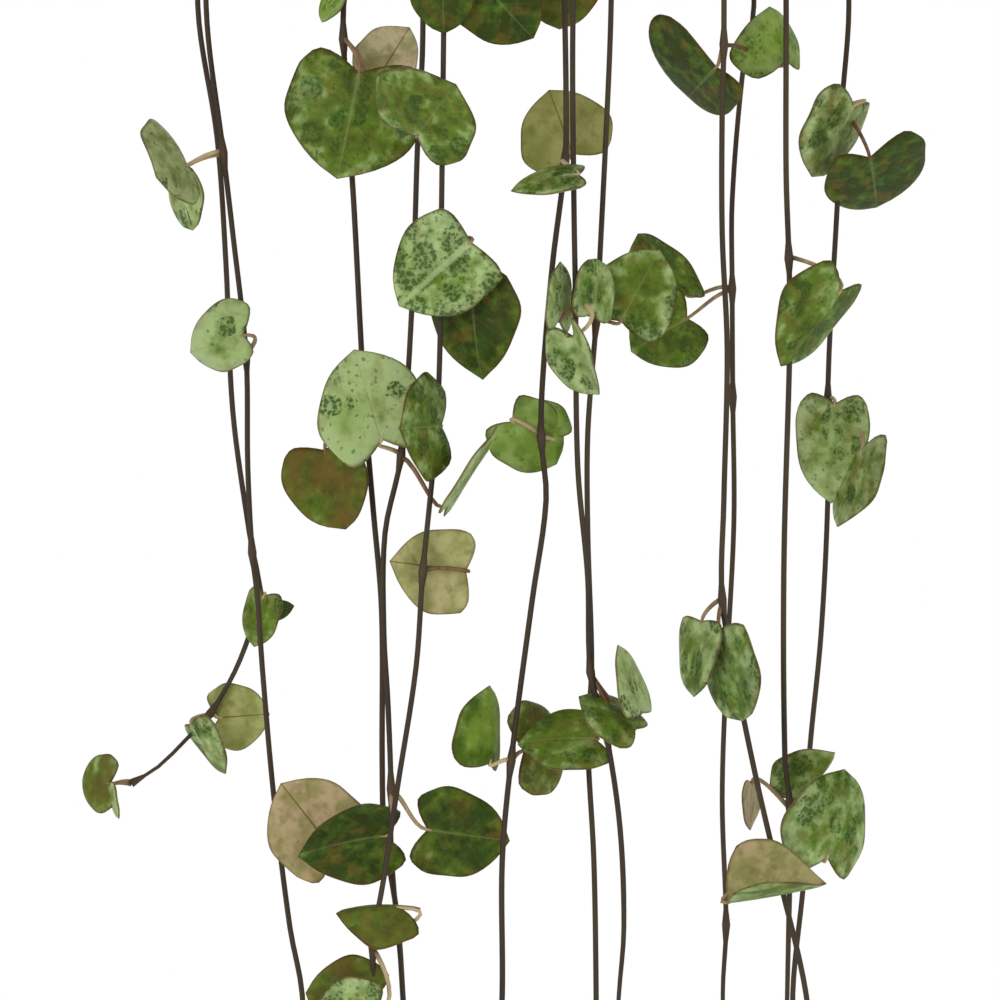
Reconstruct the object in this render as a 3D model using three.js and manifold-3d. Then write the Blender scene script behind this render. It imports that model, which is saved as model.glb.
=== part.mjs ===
// String of hearts (Ceropegia woodii) in a plain hanging pot, as a three.js scene graph.
// Millimetres, +Z up, -Y to the front. The origin is where the hook bears on its rail.
// Twelve long strands hang over the rim and six short ones stay beside the pot. A strand is
// one solid: a thin stem with a swollen node wherever leaves grow, and at the nodes leaves on
// thin stalks, each a thick heart with a notch between two round lobes.

import * as THREE from "three";
import { mergeVertices } from "three/addons/utils/BufferGeometryUtils.js";
import Module from "manifold-3d";

const wasm = await Module();
wasm.setup();

// ---- Driving dimensions ----

const gap = 0.3; // running gap left between pieces that rest on each other
const hook = { bore: 9.9, rod: 1.6, shank: 12, endAngle: 205 };
const collar = { radius: 5, height: 14, seat: 9, pitch: 2.7 };
const wire = { radius: 0.9, bearings: [105, 225, 345], tip: 9 };
const pot = { rim: 62, foot: 43, height: 96, wall: 2.2, band: 14, lip: 3, top: -175, sides: 28 };
const rimHole = { radius: 2, below: 7 };
const drain = { radius: 3, ring: 24, count: 4 };
const soil = { below: 12, dome: 3 };
const stem = { radius: 0.65, sides: 4, ring: 63, knob: 1.2, knobReach: 1.8 };
const stalk = { half: 0.36, longest: 7 };
const blade = { thickness: 0.8, dish: 0.3, fold: 8 };

const soilTop = pot.top - soil.below;
const bottom = pot.top - pot.height;
const footTop = bottom - 14; // drops along a strand are measured down from here
const viewer = { x: -4.5, distance: 2060, drop: 90, plan: 2000 };

// Half of a heart's edge from the notch to the tip, for a blade one unit long from notch to tip.
const heartHalf = [
  [0.36, -0.15],
  [0.62, 0.16],
  [0.46, 0.62],
];
const ribPoint = 0.4;

// ---- The plant, strand by strand ----

// A leaf: its notch and its tip as seen in the front plan, each as x and the drop, how far the
// rib leans to the front, its turn about the rib (0 shows the upper face in front, 180 the
// underside), how far the notch stands forward of the stem, and what shapes it: its width
// against a plain heart's, the fold up from the rib in degrees, a skew to one half, and how far
// its stalk bows to the right and to the back.
const leaf = (x, drop, tipX, tipDrop, lean, roll, forward, shape = {}) => {
  const [l, r] = [lean, roll].map(THREE.MathUtils.degToRad);
  const along = new THREE.Vector3(tipX - x, 0, drop - tipDrop);
  const length = along.length() / Math.cos(l);
  along.normalize();
  const facing = new THREE.Vector3(0, -1, 0);
  const rib = along.clone().multiplyScalar(Math.cos(l)).addScaledVector(facing, Math.sin(l));
  const flat = facing.clone().multiplyScalar(Math.cos(l)).addScaledVector(along, -Math.sin(l));
  const side = new THREE.Vector3().crossVectors(rib, flat);
  const face = flat.multiplyScalar(Math.cos(r)).addScaledVector(side, Math.sin(r));
  return { length, notch: new THREE.Vector3(x, -forward, -drop), rib, face, ...shape };
};

// A bend is a plain point of a stem and a node is a swollen one, with or without leaves.
const bend = (x, drop) => ({ x, drop, swollen: false, leaves: [] });
const node = (x, drop, ...leaves) => {
  const here = new THREE.Vector3(x, 0, -drop);
  const placed = leaves.map((one) => ({ ...one, offset: one.notch.clone().sub(here) }));
  return { x, drop, swollen: true, leaves: placed };
};

// A strand: its name, where it crosses the rim, how far to the front (-) or back (+) it hangs,
// the leaves beside the pot, each as its drop below the rim and its swing in degrees from
// straight out, its points from the pot's foot down, and the leaves of the tail that hangs
// below the last point, the last of them a small pair at the growing tip.
const strand = (name, rimX, rimY, depth, beside, points, tail) => ({
  name,
  rimX,
  rimY,
  depth,
  beside,
  points,
  tail,
});

const strands = [
  strand("strand_01", -58.9, 24, 24, [[32, 35], [70, -40]], [
    bend(-58.9, 1), bend(-55.4, 25), bend(-53.8, 48), bend(-52.6, 74), bend(-49.6, 96),
    node(-47.6, 108,
      leaf(-46.8, 107.2, -49.8, 116, 0, 46, 3, { wide: 0.85, behind: 2 }),
      leaf(-48.4, 110.2, -41.6, 109.6, 0, 30, -2, { wide: 0.6, bow: 1 })),
    bend(-49.5, 114), bend(-52.3, 121),
    node(-56.7, 128.5,
      leaf(-55.1, 129.2, -45.9, 128.5, 0, 180, -1, { wide: 1.05 }),
      leaf(-60, 130.3, -54.4, 139.3, 0, 68, 2.5, { fold: 0, behind: 3 })),
    bend(-60.9, 133), bend(-66, 138),
    node(-70.9, 141,
      leaf(-74.7, 141.1, -80.4, 140.5, -45, 0, 0, { wide: 1.05 }),
      leaf(-74.6, 141.8, -74, 147.4, 0, 78, 1)),
  ], []),
  strand("strand_02", -57.4, -27, -27, [[24, -35], [60, 40]], [
    bend(-57.4, 1),
    node(-54.3, 27.5,
      leaf(-60.8, 29.7, -65, 31.8, 67, 0, 1, { wide: 1.12, skew: 0.2 }),
      leaf(-62.1, 32.2, -60.7, 41.3, 0, 60, -4, { wide: 1.06 })),
    bend(-52.6, 42),
    node(-50.2, 64,
      leaf(-50.6, 60.4, -60.3, 63.2, 0, 8, 3, { bow: 2, skew: 0.15 })),
    bend(-49.9, 84),
    node(-49.1, 99.5),
    bend(-48.1, 108), bend(-47.3, 120), bend(-45.2, 143.5), bend(-42.3, 167), bend(-40.1, 179),
  ], [[26, -20], [50, 70]]),
  strand("strand_03", -32.6, -54.4, -54.4, [[28, -45], [66, -40]], [
    node(-32.6, -2,
      leaf(-33.7, -0.9, -37.1, 3.5, 0, 55, 0)),
    node(-32.7, 7,
      leaf(-29.8, 13.3, -33.7, 31.9, 8, 0, 5, { wide: 1.06, skew: -0.06 }),
      leaf(-26.2, 13.4, -21.3, 5.4, -30, 180, -3, { wide: 0.84, skew: 0.1 })),
    bend(-30.8, 37), bend(-29.6, 60),
    node(-28.8, 74,
      leaf(-36, 81, -33, 95.2, 0, 27, 1, { fold: 27, wide: 1.03 })),
    bend(-27.3, 92), bend(-25.8, 110), bend(-25.7, 138),
    node(-25.3, 150,
      leaf(-34.6, 153, -43.9, 141.1, 0, 180, -3, { wide: 0.95 })),
    bend(-23, 165), bend(-22, 179),
  ], [[26, -75], [44, -60]]),
  strand("strand_04", -18.4, -60.5, -61, [[46, -22]], [
    bend(-18.4, 7), bend(-19.3, 25), bend(-20.3, 54),
    node(-22.3, 82,
      leaf(-25.7, 79.2, -30.4, 63.4, 8, 4, 4, { wide: 0.97, bow: -2 }),
      leaf(-14, 90.6, -4.8, 77.4, 0, 86, 7)),
    bend(-25.2, 96), bend(-25.4, 114), bend(-24.7, 126),
    node(-24.1, 142,
      leaf(-25.2, 150.6, -40.9, 152.6, 0, 48, 1.5),
      leaf(-17.6, 149.4, -2.9, 151.5, 0, 0, -2.5, { wide: 0.86 })),
    bend(-24.1, 153), bend(-22, 179),
  ], [[14, 80]]),
  strand("strand_05", -13, -62.2, -69.5, [[24, 22], [70, 20]], [
    node(-14.5, -5,
      leaf(-14.9, -5.2, -14.6, 6, 0, 0, 3, { wide: 0.84 }),
      leaf(-8.5, -4, 1.2, 7, 0, 10, 0, { wide: 0.88 })),
    node(-14.8, 20,
      leaf(-19.4, 24.6, -13, 16.5, 46, 0, 4, { wide: 1.12, skew: -0.14 })),
    node(-15.1, 44,
      leaf(-9.7, 43.6, -22.6, 55, 0, 0, 3.5, { wide: 0.87, behind: 2 }),
      leaf(-9.4, 52.4, -9, 68.3, 0, 30, -1, { wide: 0.93 })),
    bend(-15.3, 62),
    node(-15.9, 77,
      leaf(-15.1, 76.7, -21.4, 77.2, 64, 0, 2, { wide: 1.06 })),
    bend(-17.1, 90),
    node(-18.4, 103,
      leaf(-10.6, 102.8, -24.5, 101, 0, 180, -3, { wide: 0.9, skew: 0.08 })),
    bend(-19.6, 120), bend(-23, 142), bend(-25.4, 158),
    node(-27.4, 170.5,
      leaf(-22.4, 163.4, -33.9, 162.6, 0, 58, 0.5, { fold: -26, bow: 5 }),
      leaf(-27.2, 182.2, -38.4, 184, 0, -20, 3, { bow: 2 })),
    node(-26.8, 183,
      leaf(-27.4, 180, -39.4, 178.8, 0, 0, 0.5)),
  ], [[20, 0], [40, 60], [58, -70]]),
  strand("strand_06", 5.5, -63.2, -62.5, [[44, -12]], [
    node(7, -6,
      leaf(6.7, -5.4, 6.2, 5, 0, 0, -3.5, { wide: 1.05 })),
    bend(7.4, 18),
    node(7.2, 29,
      leaf(8.6, 27.6, 4.4, 16.2, 0, 180, -5.5, { wide: 1.12 }),
      leaf(9.6, 31.9, -2.6, 32.9, 0, 60, 13, { wide: 0.64, bow: -3 })),
    bend(4.9, 48), bend(3.2, 68),
    node(2.9, 78.7,
      leaf(-2.3, 75.8, 5.8, 83.6, 0, 0, -2, { wide: 0.95 }),
      leaf(5, 78.8, -1.2, 73, 0, -10, -3.5, { wide: 0.95 })),
    bend(3.8, 90), bend(1.3, 108),
    node(-2.5, 137,
      leaf(-6.4, 137.4, -4, 123.8, 0, 62, 1, { fold: -10, wide: 1.05 }),
      leaf(-0.2, 135.2, 8.8, 133.6, -42, 0, -3, { wide: 1.14 })),
    bend(-4.1, 155), bend(-4.1, 179),
  ], [[24, -15], [44, 80]]),
  strand("strand_07", 11, -62.4, -69, [[74, -8]], [
    bend(8.6, 6), bend(8.8, 36),
    node(9.1, 54.5,
      leaf(8.9, 60.7, 12.8, 71, 0, 55, 5, { wide: 1.12, fold: 34, bow: 4.5, behind: -3 }),
      leaf(11.9, 56.6, 14.3, 46.6, 0, 50, 0, { wide: 0.92 }),
      leaf(6, 57.6, 7, 47.4, 0, 68, 1.5, { fold: 10 })),
    bend(9.5, 84), bend(11.3, 104),
    node(11.8, 121,
      leaf(19.8, 131.2, 11, 123.7, 0, 59, 2.5, { fold: 1, bow: -3, behind: 2 }),
      leaf(20.8, 128.4, 17.4, 116.2, 0, 71, 1, { fold: 8, bow: -3, behind: 2 })),
    node(14.6, 132),
    bend(17.1, 149), bend(17.8, 167), bend(16.9, 179),
  ], [[18, 75]]),
  strand("strand_08", 17.5, -60.6, -60.6, [[26, 15]], [
    bend(15.5, 1), bend(15.1, 13), bend(13.7, 42),
    node(12.8, 58,
      leaf(17.2, 57.9, 24.2, 45.1, 0, 0, 1.5, { wide: 0.86 })),
    bend(11.3, 78), bend(11.3, 96), bend(12, 120),
    node(11.3, 133,
      leaf(12.7, 133, -1.2, 132.6, 0, 35, 4.4, { wide: 0.76, behind: 2 })),
    bend(12.4, 155), bend(12.8, 179),
  ], [[30, 70], [50, -60]]),
  strand("strand_09", 36.2, -52.2, -52.2, [[40, -20], [76, 10]], [
    node(35.8, 8,
      leaf(34.5, 12, 28, 18.6, -55, 0, -2, { wide: 1.08, skew: 0.3 }),
      leaf(47.2, 10.4, 44.8, 0.6, 0, 30, -14, { fold: -30, wide: 1.3, behind: 16 })),
    bend(35.5, 19), bend(35.5, 42), bend(36.4, 63), bend(35.8, 90),
    node(35.5, 108,
      leaf(31.8, 111.8, 29.6, 125, 0, 65, 1, { behind: 2 }),
      leaf(34.9, 113.2, 38.4, 129.9, 0, 65, 5, { behind: 3 })),
    bend(38.3, 124), bend(41.8, 141),
    node(45.4, 156.5,
      leaf(36.1, 162.3, 53.9, 160.2, 0, 121, 4, { fold: -42, wide: 0.88 })),
    bend(50.6, 179),
  ], [[20, 10], [42, -60], [64, 60]]),
  strand("strand_10", 41.2, 48.3, 48.3, [[26, -40], [62, 35]], [
    bend(41.2, 1), bend(39.2, 13), bend(37.3, 36),
    node(37.3, 52,
      leaf(28.6, 52.8, 19.4, 43, 0, -40, -2, { fold: 30 }),
      leaf(29.2, 57.3, 19.2, 63.2, 0, 0, 1)),
    node(37.4, 71.5),
    bend(37.6, 94), bend(36.2, 122), bend(35.5, 144),
    node(36.2, 166.5),
    bend(35.6, 179),
  ], [[24, 30]]),
  strand("strand_11", 47, -42.7, -42.7, [[22, 30], [58, 40]], [
    bend(47, 1), bend(47, 31),
    node(47.5, 46.5,
      leaf(56.7, 52.4, 47, 66.2, 0, -54, 2, { wide: 0.92, fold: -8, behind: 3 })),
    bend(47.7, 60), bend(46.6, 102), bend(46.8, 137),
    node(47.7, 145,
      leaf(49.2, 144, 56.4, 136.2, 0, 39, -3, { fold: -39 }),
      leaf(54.2, 154.2, 57.8, 138.8, 0, 44, 6, { fold: -2, wide: 1.05, behind: 3 }),
      leaf(40.8, 140.9, 39.5, 149.2, 0, 108, -2)),
    bend(47.2, 179),
  ], [[20, 60]]),
  strand("strand_12", 58.3, 25.5, 25.5, [[32, 40], [68, -40]], [
    bend(58.3, 1),
    node(57, 19.5,
      leaf(59, 19.2, 52.2, 32, 0, -57, 6, { fold: -2, bow: 3 }),
      leaf(61.8, 28.6, 64.2, 38.8, -52, -8, 8, { wide: 0.92, skew: -0.1 })),
    bend(56.2, 37), bend(54.9, 60),
    node(54.5, 72,
      leaf(55.7, 72.7, 53.4, 90, 8, 28, 4, { wide: 0.66, behind: 2 }),
      leaf(60.3, 81, 55.2, 94.2, 0, 68, 9, { fold: 0 })),
    bend(54.5, 90), bend(53.3, 114), bend(51.1, 137), bend(50.2, 158), bend(48.2, 179),
  ], [[22, -30], [46, 60]]),
];

// The short strands: where they cross the rim, as an angle, and the nodes with their leaves, each
// as its drop below the rim and its swing. The last node is the growing tip.
const shortStrands = [
  ["strand_13", 92, [[26, 30], [58, -35], [84, 20]]],
  ["strand_14", 122, [[34, -30], [66, 35]]],
  ["strand_15", 139, [[28, 25], [60, -30], [90, 30]]],
  ["strand_16", 180, [[40, -35], [72, 30]]],
  ["strand_17", 3, [[24, -35], [54, 40], [80, -20]]],
  ["strand_18", 71, [[38, 30], [74, -35]]],
];

// How the leaves that follow the plain rule grow: the blades' lengths, the stalks' reach, the
// droop of the blades in degrees, and the share of its full length that a leaf at a growing tip
// has. The crowned strands have one more leaf over the soil.
const habit = {
  bladeLow: 12,
  bladeHigh: 16,
  reach: 4.2,
  droopLow: 42,
  droopHigh: 74,
  tipShare: 0.5,
  crowned: ["strand_02", "strand_05", "strand_11", "strand_12", "strand_14"],
};

const tubers = [
  ["tuber_1", 9, -7, 8.5, 6],
  ["tuber_2", -11, 8, 7, 5],
  ["tuber_3", 8, 12, 6, 4.5],
];

// ---- Solids ----

const up = new THREE.Vector3(0, 0, 1);
const between = (low, high, share) => low + (high - low) * share;

// A number from 0 to 1 that is always the same for the same seed.
const draw = (seed) => {
  const wave = Math.sin(seed * 127.1 + 11.7) * 43758.5453;
  return wave - Math.floor(wave);
};

function solidOf(geometry) {
  geometry.deleteAttribute("normal");
  geometry.deleteAttribute("uv");
  const merged = mergeVertices(geometry, 1e-4);
  const triVerts = new Uint32Array(merged.index.array);
  const vertProperties = merged.attributes.position.array;
  const made = new wasm.Manifold(new wasm.Mesh({ numProp: 3, vertProperties, triVerts }));
  if (made.volume() >= 0) return made;
  for (let i = 0; i < triVerts.length; i += 3)
    [triVerts[i + 1], triVerts[i + 2]] = [triVerts[i + 2], triVerts[i + 1]];
  return new wasm.Manifold(new wasm.Mesh({ numProp: 3, vertProperties, triVerts }));
}

function meshOf(name, solid, colour, roughness, metalness = 0) {
  const { numProp, vertProperties, triVerts } = solid.getMesh();
  const positions = new Float32Array((vertProperties.length / numProp) * 3);
  for (let i = 0; i < positions.length / 3; i++)
    positions.set(vertProperties.subarray(i * numProp, i * numProp + 3), i * 3);
  const geometry = new THREE.BufferGeometry()
    .setAttribute("position", new THREE.BufferAttribute(positions, 3))
    .setIndex(new THREE.BufferAttribute(new Uint32Array(triVerts), 1));
  geometry.computeVertexNormals();
  const material = new THREE.MeshStandardMaterial({ color: colour, roughness, metalness });
  const mesh = new THREE.Mesh(geometry, material);
  mesh.name = name;
  return mesh;
}

// A closed rod through the points, with its own radius at each, whose rings keep their turn
// from one point to the next.
function rod(points, radii, sides) {
  const ways = points.map((point, i) => {
    const before = points[Math.max(i - 1, 0)];
    const after = points[Math.min(i + 1, points.length - 1)];
    return after.clone().sub(before).normalize();
  });
  const seedAxis = Math.abs(ways[0].z) > 0.9 ? new THREE.Vector3(1, 0, 0) : up;
  const normal = seedAxis.clone();
  const corners = [];
  points.forEach((point, i) => {
    normal.addScaledVector(ways[i], -normal.dot(ways[i])).normalize();
    const other = new THREE.Vector3().crossVectors(ways[i], normal);
    for (let k = 0; k < sides; k++) {
      const angle = (2 * Math.PI * k) / sides;
      const corner = point.clone().addScaledVector(normal, radii[i] * Math.cos(angle));
      corners.push(corner.addScaledVector(other, radii[i] * Math.sin(angle)));
    }
  });
  const faces = [];
  for (let i = 0; i + 1 < points.length; i++)
    for (let k = 0; k < sides; k++) {
      const [a, b] = [i * sides + k, i * sides + ((k + 1) % sides)];
      faces.push(a, b, b + sides, a, b + sides, a + sides);
    }
  const last = (points.length - 1) * sides;
  for (let k = 1; k + 1 < sides; k++) faces.push(0, k + 1, k, last, last + k, last + k + 1);
  return solidOf(new THREE.BufferGeometry().setFromPoints(corners).setIndex(faces));
}

function evenRod(points, radius, sides) {
  return rod(points, points.map(() => radius), sides);
}

function cylinder(radius, height, sides, x, y, z) {
  const made = new THREE.CylinderGeometry(radius, radius, height, sides);
  return solidOf(made.rotateX(Math.PI / 2).translate(x, y, z));
}

function turned(profile, sides) {
  const outline = profile.map(([r, z]) => new THREE.Vector2(r, z));
  return solidOf(new THREE.LatheGeometry(outline, sides).rotateX(Math.PI / 2));
}

// A leaf in one piece: a heart-shaped blade with like faces a blade's thickness apart, dished
// along its rib so that the sides bend to the underside, and a square stalk that runs from the
// middle of the node into the blade's notch.
function leafSolid(start, base, { length, rib, face, ...shape }) {
  const { wide = 1, skew = 0, fold = blade.fold, bow = 0, behind = 0 } = shape;
  const side = new THREE.Vector3().crossVectors(rib, face);
  const notch = stalk.half / length;
  const [right, left] = [1, -1].map((way) =>
    heartHalf.map(([across, along]) => [way * across * wide * (1 + way * skew), along]),
  );
  const edge = [[notch, 0], ...right, [0, 1], ...left.reverse(), [-notch, 0]];
  const flat = [...edge, [0, ribPoint]];
  const rise = THREE.MathUtils.degToRad(fold);
  const points = [1, -1].flatMap((way) =>
    flat.map(([across, along]) => {
      const sag = blade.dish * across * across;
      const lift = (way * blade.thickness) / 2 + length * (Math.abs(across) * Math.sin(rise) - sag);
      const point = base.clone().addScaledVector(side, across * Math.cos(rise) * length);
      return point.addScaledVector(rib, along * length).addScaledVector(face, lift);
    }),
  );
  const [centre, last] = [edge.length, edge.length - 1];
  const faces = [];
  for (let i = 0; i <= last; i++) {
    const j = (i + 1) % edge.length;
    const [under, underNext] = [i + flat.length, j + flat.length];
    faces.push(i, j, centre, under, centre + flat.length, underNext);
    if (i < last) faces.push(i, under, j, j, under, underNext);
  }
  const reach = start.distanceTo(base);
  const leave = start.clone().lerp(base, 0.4).addScaledVector(up, reach * 0.15);
  const arrive = base.clone().addScaledVector(rib, -0.3 * Math.min(reach, length));
  const aside = new THREE.Vector3(bow, behind, 0);
  leave.add(aside);
  arrive.add(aside);
  const path = new THREE.CubicBezierCurve3(start, leave, arrive, base);
  const count = bow || behind || reach > stalk.longest ? 3 : 2;
  const normal = face.clone();
  let ring = [0, last, last + flat.length, flat.length];
  for (let i = count - 1; i >= 0; i--) {
    const at = path.getPoint(i / count);
    const way = path.getTangent(i / count);
    normal.addScaledVector(way, -normal.dot(way)).normalize();
    const other = new THREE.Vector3().crossVectors(way, normal);
    const next = [0, 1, 2, 3].map((k) => points.length + k);
    for (const [a, b] of [[1, 1], [-1, 1], [-1, -1], [1, -1]]) {
      const corner = at.clone().addScaledVector(other, a * stalk.half);
      points.push(corner.addScaledVector(normal, b * stalk.half));
    }
    for (let k = 0; k < 4; k++) {
      const m = (k + 1) % 4;
      faces.push(ring[k], ring[m], next[m], ring[k], next[m], next[k]);
    }
    ring = next;
  }
  faces.push(ring[0], ring[1], ring[2], ring[0], ring[2], ring[3]);
  return solidOf(new THREE.BufferGeometry().setFromPoints(points).setIndex(faces));
}

// The leaf of the plain rule: it reaches out at an angle round the stem and droops.
function ruleLeaf(length, angle, droop, rise) {
  const out = new THREE.Vector3(Math.cos(angle), Math.sin(angle), 0);
  const rib = out.clone().multiplyScalar(Math.cos(droop)).addScaledVector(up, -Math.sin(droop));
  const face = out.clone().multiplyScalar(Math.sin(droop)).addScaledVector(up, Math.cos(droop));
  const offset = out.clone().multiplyScalar(habit.reach).addScaledVector(up, rise);
  return { length, offset, rib, face };
}

// A strand's way out of the soil and over the rim, as shares of the rim's ring and heights. The
// roots stand on two rings in turn.
function overRim(angle, seed) {
  const root = seed % 2 ? 0.52 : 0.4;
  const crest = pot.top + stem.radius + gap;
  const profile = [
    [root, soilTop - 8],
    [root, soilTop + 4],
    [root + 0.07, soilTop + 10],
    [0.78, crest + 1],
    [0.945, crest + 0.1],
    [0.985, crest - 0.4],
    [1, crest - 2.4],
    [1, pot.top - 12],
  ];
  const out = new THREE.Vector3(Math.cos(angle), Math.sin(angle), 0);
  return profile.map(([part, z]) => out.clone().multiplyScalar(part * stem.ring).setZ(z));
}

// A leaf of the plain rule on a strand that faces outward at the given angle.
function swungLeaf(outward, swing, seed, shrink) {
  const size = between(habit.bladeLow, habit.bladeHigh, draw(seed)) * shrink;
  const droop = between(habit.droopLow, habit.droopHigh, draw(seed + 1));
  const [turn, fall] = [swing, droop].map(THREE.MathUtils.degToRad);
  return ruleLeaf(size, outward + turn, fall, -1);
}

// The front plan lines up for someone who stands in front of the plant: its scale holds at the
// plan's distance from them, and a strand further back is spread a little wider.
function seenAt(x, depth, drop) {
  const spread = (viewer.distance + depth) / viewer.plan;
  const z = footTop - viewer.drop - (drop - viewer.drop) * spread;
  return new THREE.Vector3(viewer.x + (x - viewer.x) * spread, depth, z);
}

function seenLeaf(one, depth) {
  const spread = (viewer.distance + depth) / viewer.plan;
  const offset = one.offset.clone().multiply(new THREE.Vector3(spread, 1, spread));
  return { ...one, length: one.length * spread, offset };
}

// A strand's points in order, each with its leaves, from the soil to the growing tip.
function layOut({ name, rimX, rimY, depth, tail, beside, points }, seed) {
  const outward = Math.atan2(rimY, rimX);
  const route = overRim(outward, seed).map((at) => ({ at, leaves: [], swollen: false }));
  if (habit.crowned.includes(name)) route[2].leaves.push(crownLeaf(outward, seed));
  const rimPoint = route.at(-1).at;
  const end = seenAt(points[0].x, depth, points[0].drop);
  for (const [drop, swing] of beside) {
    const z = pot.top - drop;
    const at = rimPoint.clone().lerp(end, (rimPoint.z - z) / (rimPoint.z - end.z));
    route.push({ at, leaves: [swungLeaf(outward, swing, seed + drop, 1)], swollen: true });
  }
  for (const { x, drop, leaves, swollen } of points) {
    const seen = leaves.map((one) => seenLeaf(one, depth));
    route.push({ at: seenAt(x, depth, drop), leaves: seen, swollen });
  }
  const last = route.at(-1).at;
  tail.forEach(([drop, swing], k) => {
    const tip = k + 1 === tail.length;
    const leaves = (tip ? [swing, swing + 180] : [swing]).map((one, n) =>
      swungLeaf(outward, one, seed + drop + 9 * n, tip ? habit.tipShare : 1),
    );
    const sway = between(-1.5, 1.5, draw(seed + drop));
    const at = new THREE.Vector3(sway, sway / 2, -drop).add(last);
    route.push({ at, leaves, swollen: true });
  });
  return route;
}

function crownLeaf(outward, seed) {
  const size = between(habit.bladeLow, habit.bladeHigh, draw(seed + 3));
  const swing = between(-0.9, 0.9, draw(seed + 5));
  return ruleLeaf(size, outward + Math.PI + swing, 0.35, 5);
}

function layOutShort([name, angle, beside], seed) {
  const outward = THREE.MathUtils.degToRad(angle);
  const route = overRim(outward, seed).map((at) => ({ at, leaves: [], swollen: false }));
  if (habit.crowned.includes(name)) route[2].leaves.push(crownLeaf(outward, seed));
  beside.forEach(([drop, swing], k) => {
    const at = route[7].at.clone().setZ(pot.top - drop);
    const last = k + 1 === beside.length;
    const swings = last ? [swing, swing - 75] : [swing];
    const leaves = swings.map((one, n) =>
      swungLeaf(outward, one, seed + drop + 9 * n, last ? habit.tipShare : 1),
    );
    route.push({ at, leaves, swollen: true });
  });
  return route;
}

// The stem through a route's points, thicker at its nodes, joined with the leaves and stalks.
function leafyStem(route) {
  const points = [];
  const radii = [];
  route.forEach(({ at, swollen }, i) => {
    const reach = swollen ? stem.knobReach : 0;
    const way = route[Math.min(i + 1, route.length - 1)].at.clone().sub(route[Math.max(i - 1, 0)].at);
    way.normalize().multiplyScalar(reach);
    if (swollen) points.push(at.clone().sub(way));
    points.push(at.clone());
    if (swollen) points.push(at.clone().add(way));
    radii.push(...(swollen ? [stem.radius, stem.knob, stem.radius] : [stem.radius]));
  });
  const pieces = [rod(points, radii, stem.sides)];
  for (const { at, leaves } of route) {
    leaves.forEach((one, k) => {
      const start = at.clone().addScaledVector(up, 0.31 - 0.47 * k); // one stalk under the other
      pieces.push(leafSolid(start, at.clone().add(one.offset), one));
    });
  }
  return wasm.Manifold.union(pieces);
}

// ---- Pot, soil and hanger ----

function wallRadius(z) {
  return between(pot.foot, pot.rim - pot.lip, (z - bottom) / pot.height);
}

// A tapered pot with a deeper band round the rim, three holes for the hanger's wires and four
// drain holes in its flat foot.
function hangingPot() {
  const band = pot.top - pot.band;
  const profile = [
    [0, bottom],
    [pot.foot - 1, bottom],
    [pot.foot, bottom + 1],
    [wallRadius(band - 2), band - 2],
    [pot.rim, band],
    [pot.rim, pot.top - 0.8],
    [pot.rim - 0.8, pot.top],
    [pot.rim - pot.wall, pot.top],
    [pot.rim - pot.wall, band + 1],
    [wallRadius(band - 2) - pot.wall, band - 3],
    [pot.foot - pot.wall, bottom + pot.wall],
    [0, bottom + pot.wall],
  ];
  const holes = wire.bearings.map((bearing) => {
    const made = new THREE.CylinderGeometry(rimHole.radius, rimHole.radius, 12, 8);
    made.rotateZ(Math.PI / 2).translate(pot.rim, 0, pot.top - rimHole.below);
    return solidOf(made.rotateZ(THREE.MathUtils.degToRad(bearing)));
  });
  const drains = Array.from({ length: drain.count }, (_, i) => {
    const angle = (2 * Math.PI * (i + 0.5)) / drain.count;
    const [x, y] = [drain.ring * Math.cos(angle), drain.ring * Math.sin(angle)];
    return cylinder(drain.radius, 10, 8, x, y, bottom);
  });
  return wasm.Manifold.difference([turned(profile, pot.sides), ...holes, ...drains]);
}

// A squat tuber, half sunk in the soil.
function tuberSolid([, x, y, radius, height], grow = 0) {
  const made = new THREE.SphereGeometry(1, 8, 5).rotateX(Math.PI / 2);
  made.scale(radius + grow, radius * 0.86 + grow, height + grow);
  return solidOf(made.translate(x, y, soilTop + soil.dome));
}

// Potting soil up to a little under the rim, with a plain hole for each stem and a hollow
// round each tuber.
function pottingSoil(starts) {
  const band = pot.top - pot.band;
  const topEdge = pot.rim - pot.wall - 2 * gap;
  const profile = [
    [0, bottom + pot.wall + gap],
    [pot.foot - pot.wall - 2 * gap, bottom + pot.wall + gap],
    [wallRadius(band - 2) - pot.wall - 2 * gap, band - 3],
    [topEdge, band + 1 + 2 * gap],
    [topEdge, soilTop],
    [topEdge * 0.75, soilTop + soil.dome * 0.7],
    [0, soilTop + soil.dome],
  ];
  const holes = starts.map((at) => cylinder(stem.radius + 2 * gap, 24, 5, at.x, at.y, soilTop + 3));
  const hollows = tubers.map((tuber) => tuberSolid(tuber, gap));
  return wasm.Manifold.difference([turned(profile, pot.sides), ...holes, ...hollows]);
}

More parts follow.
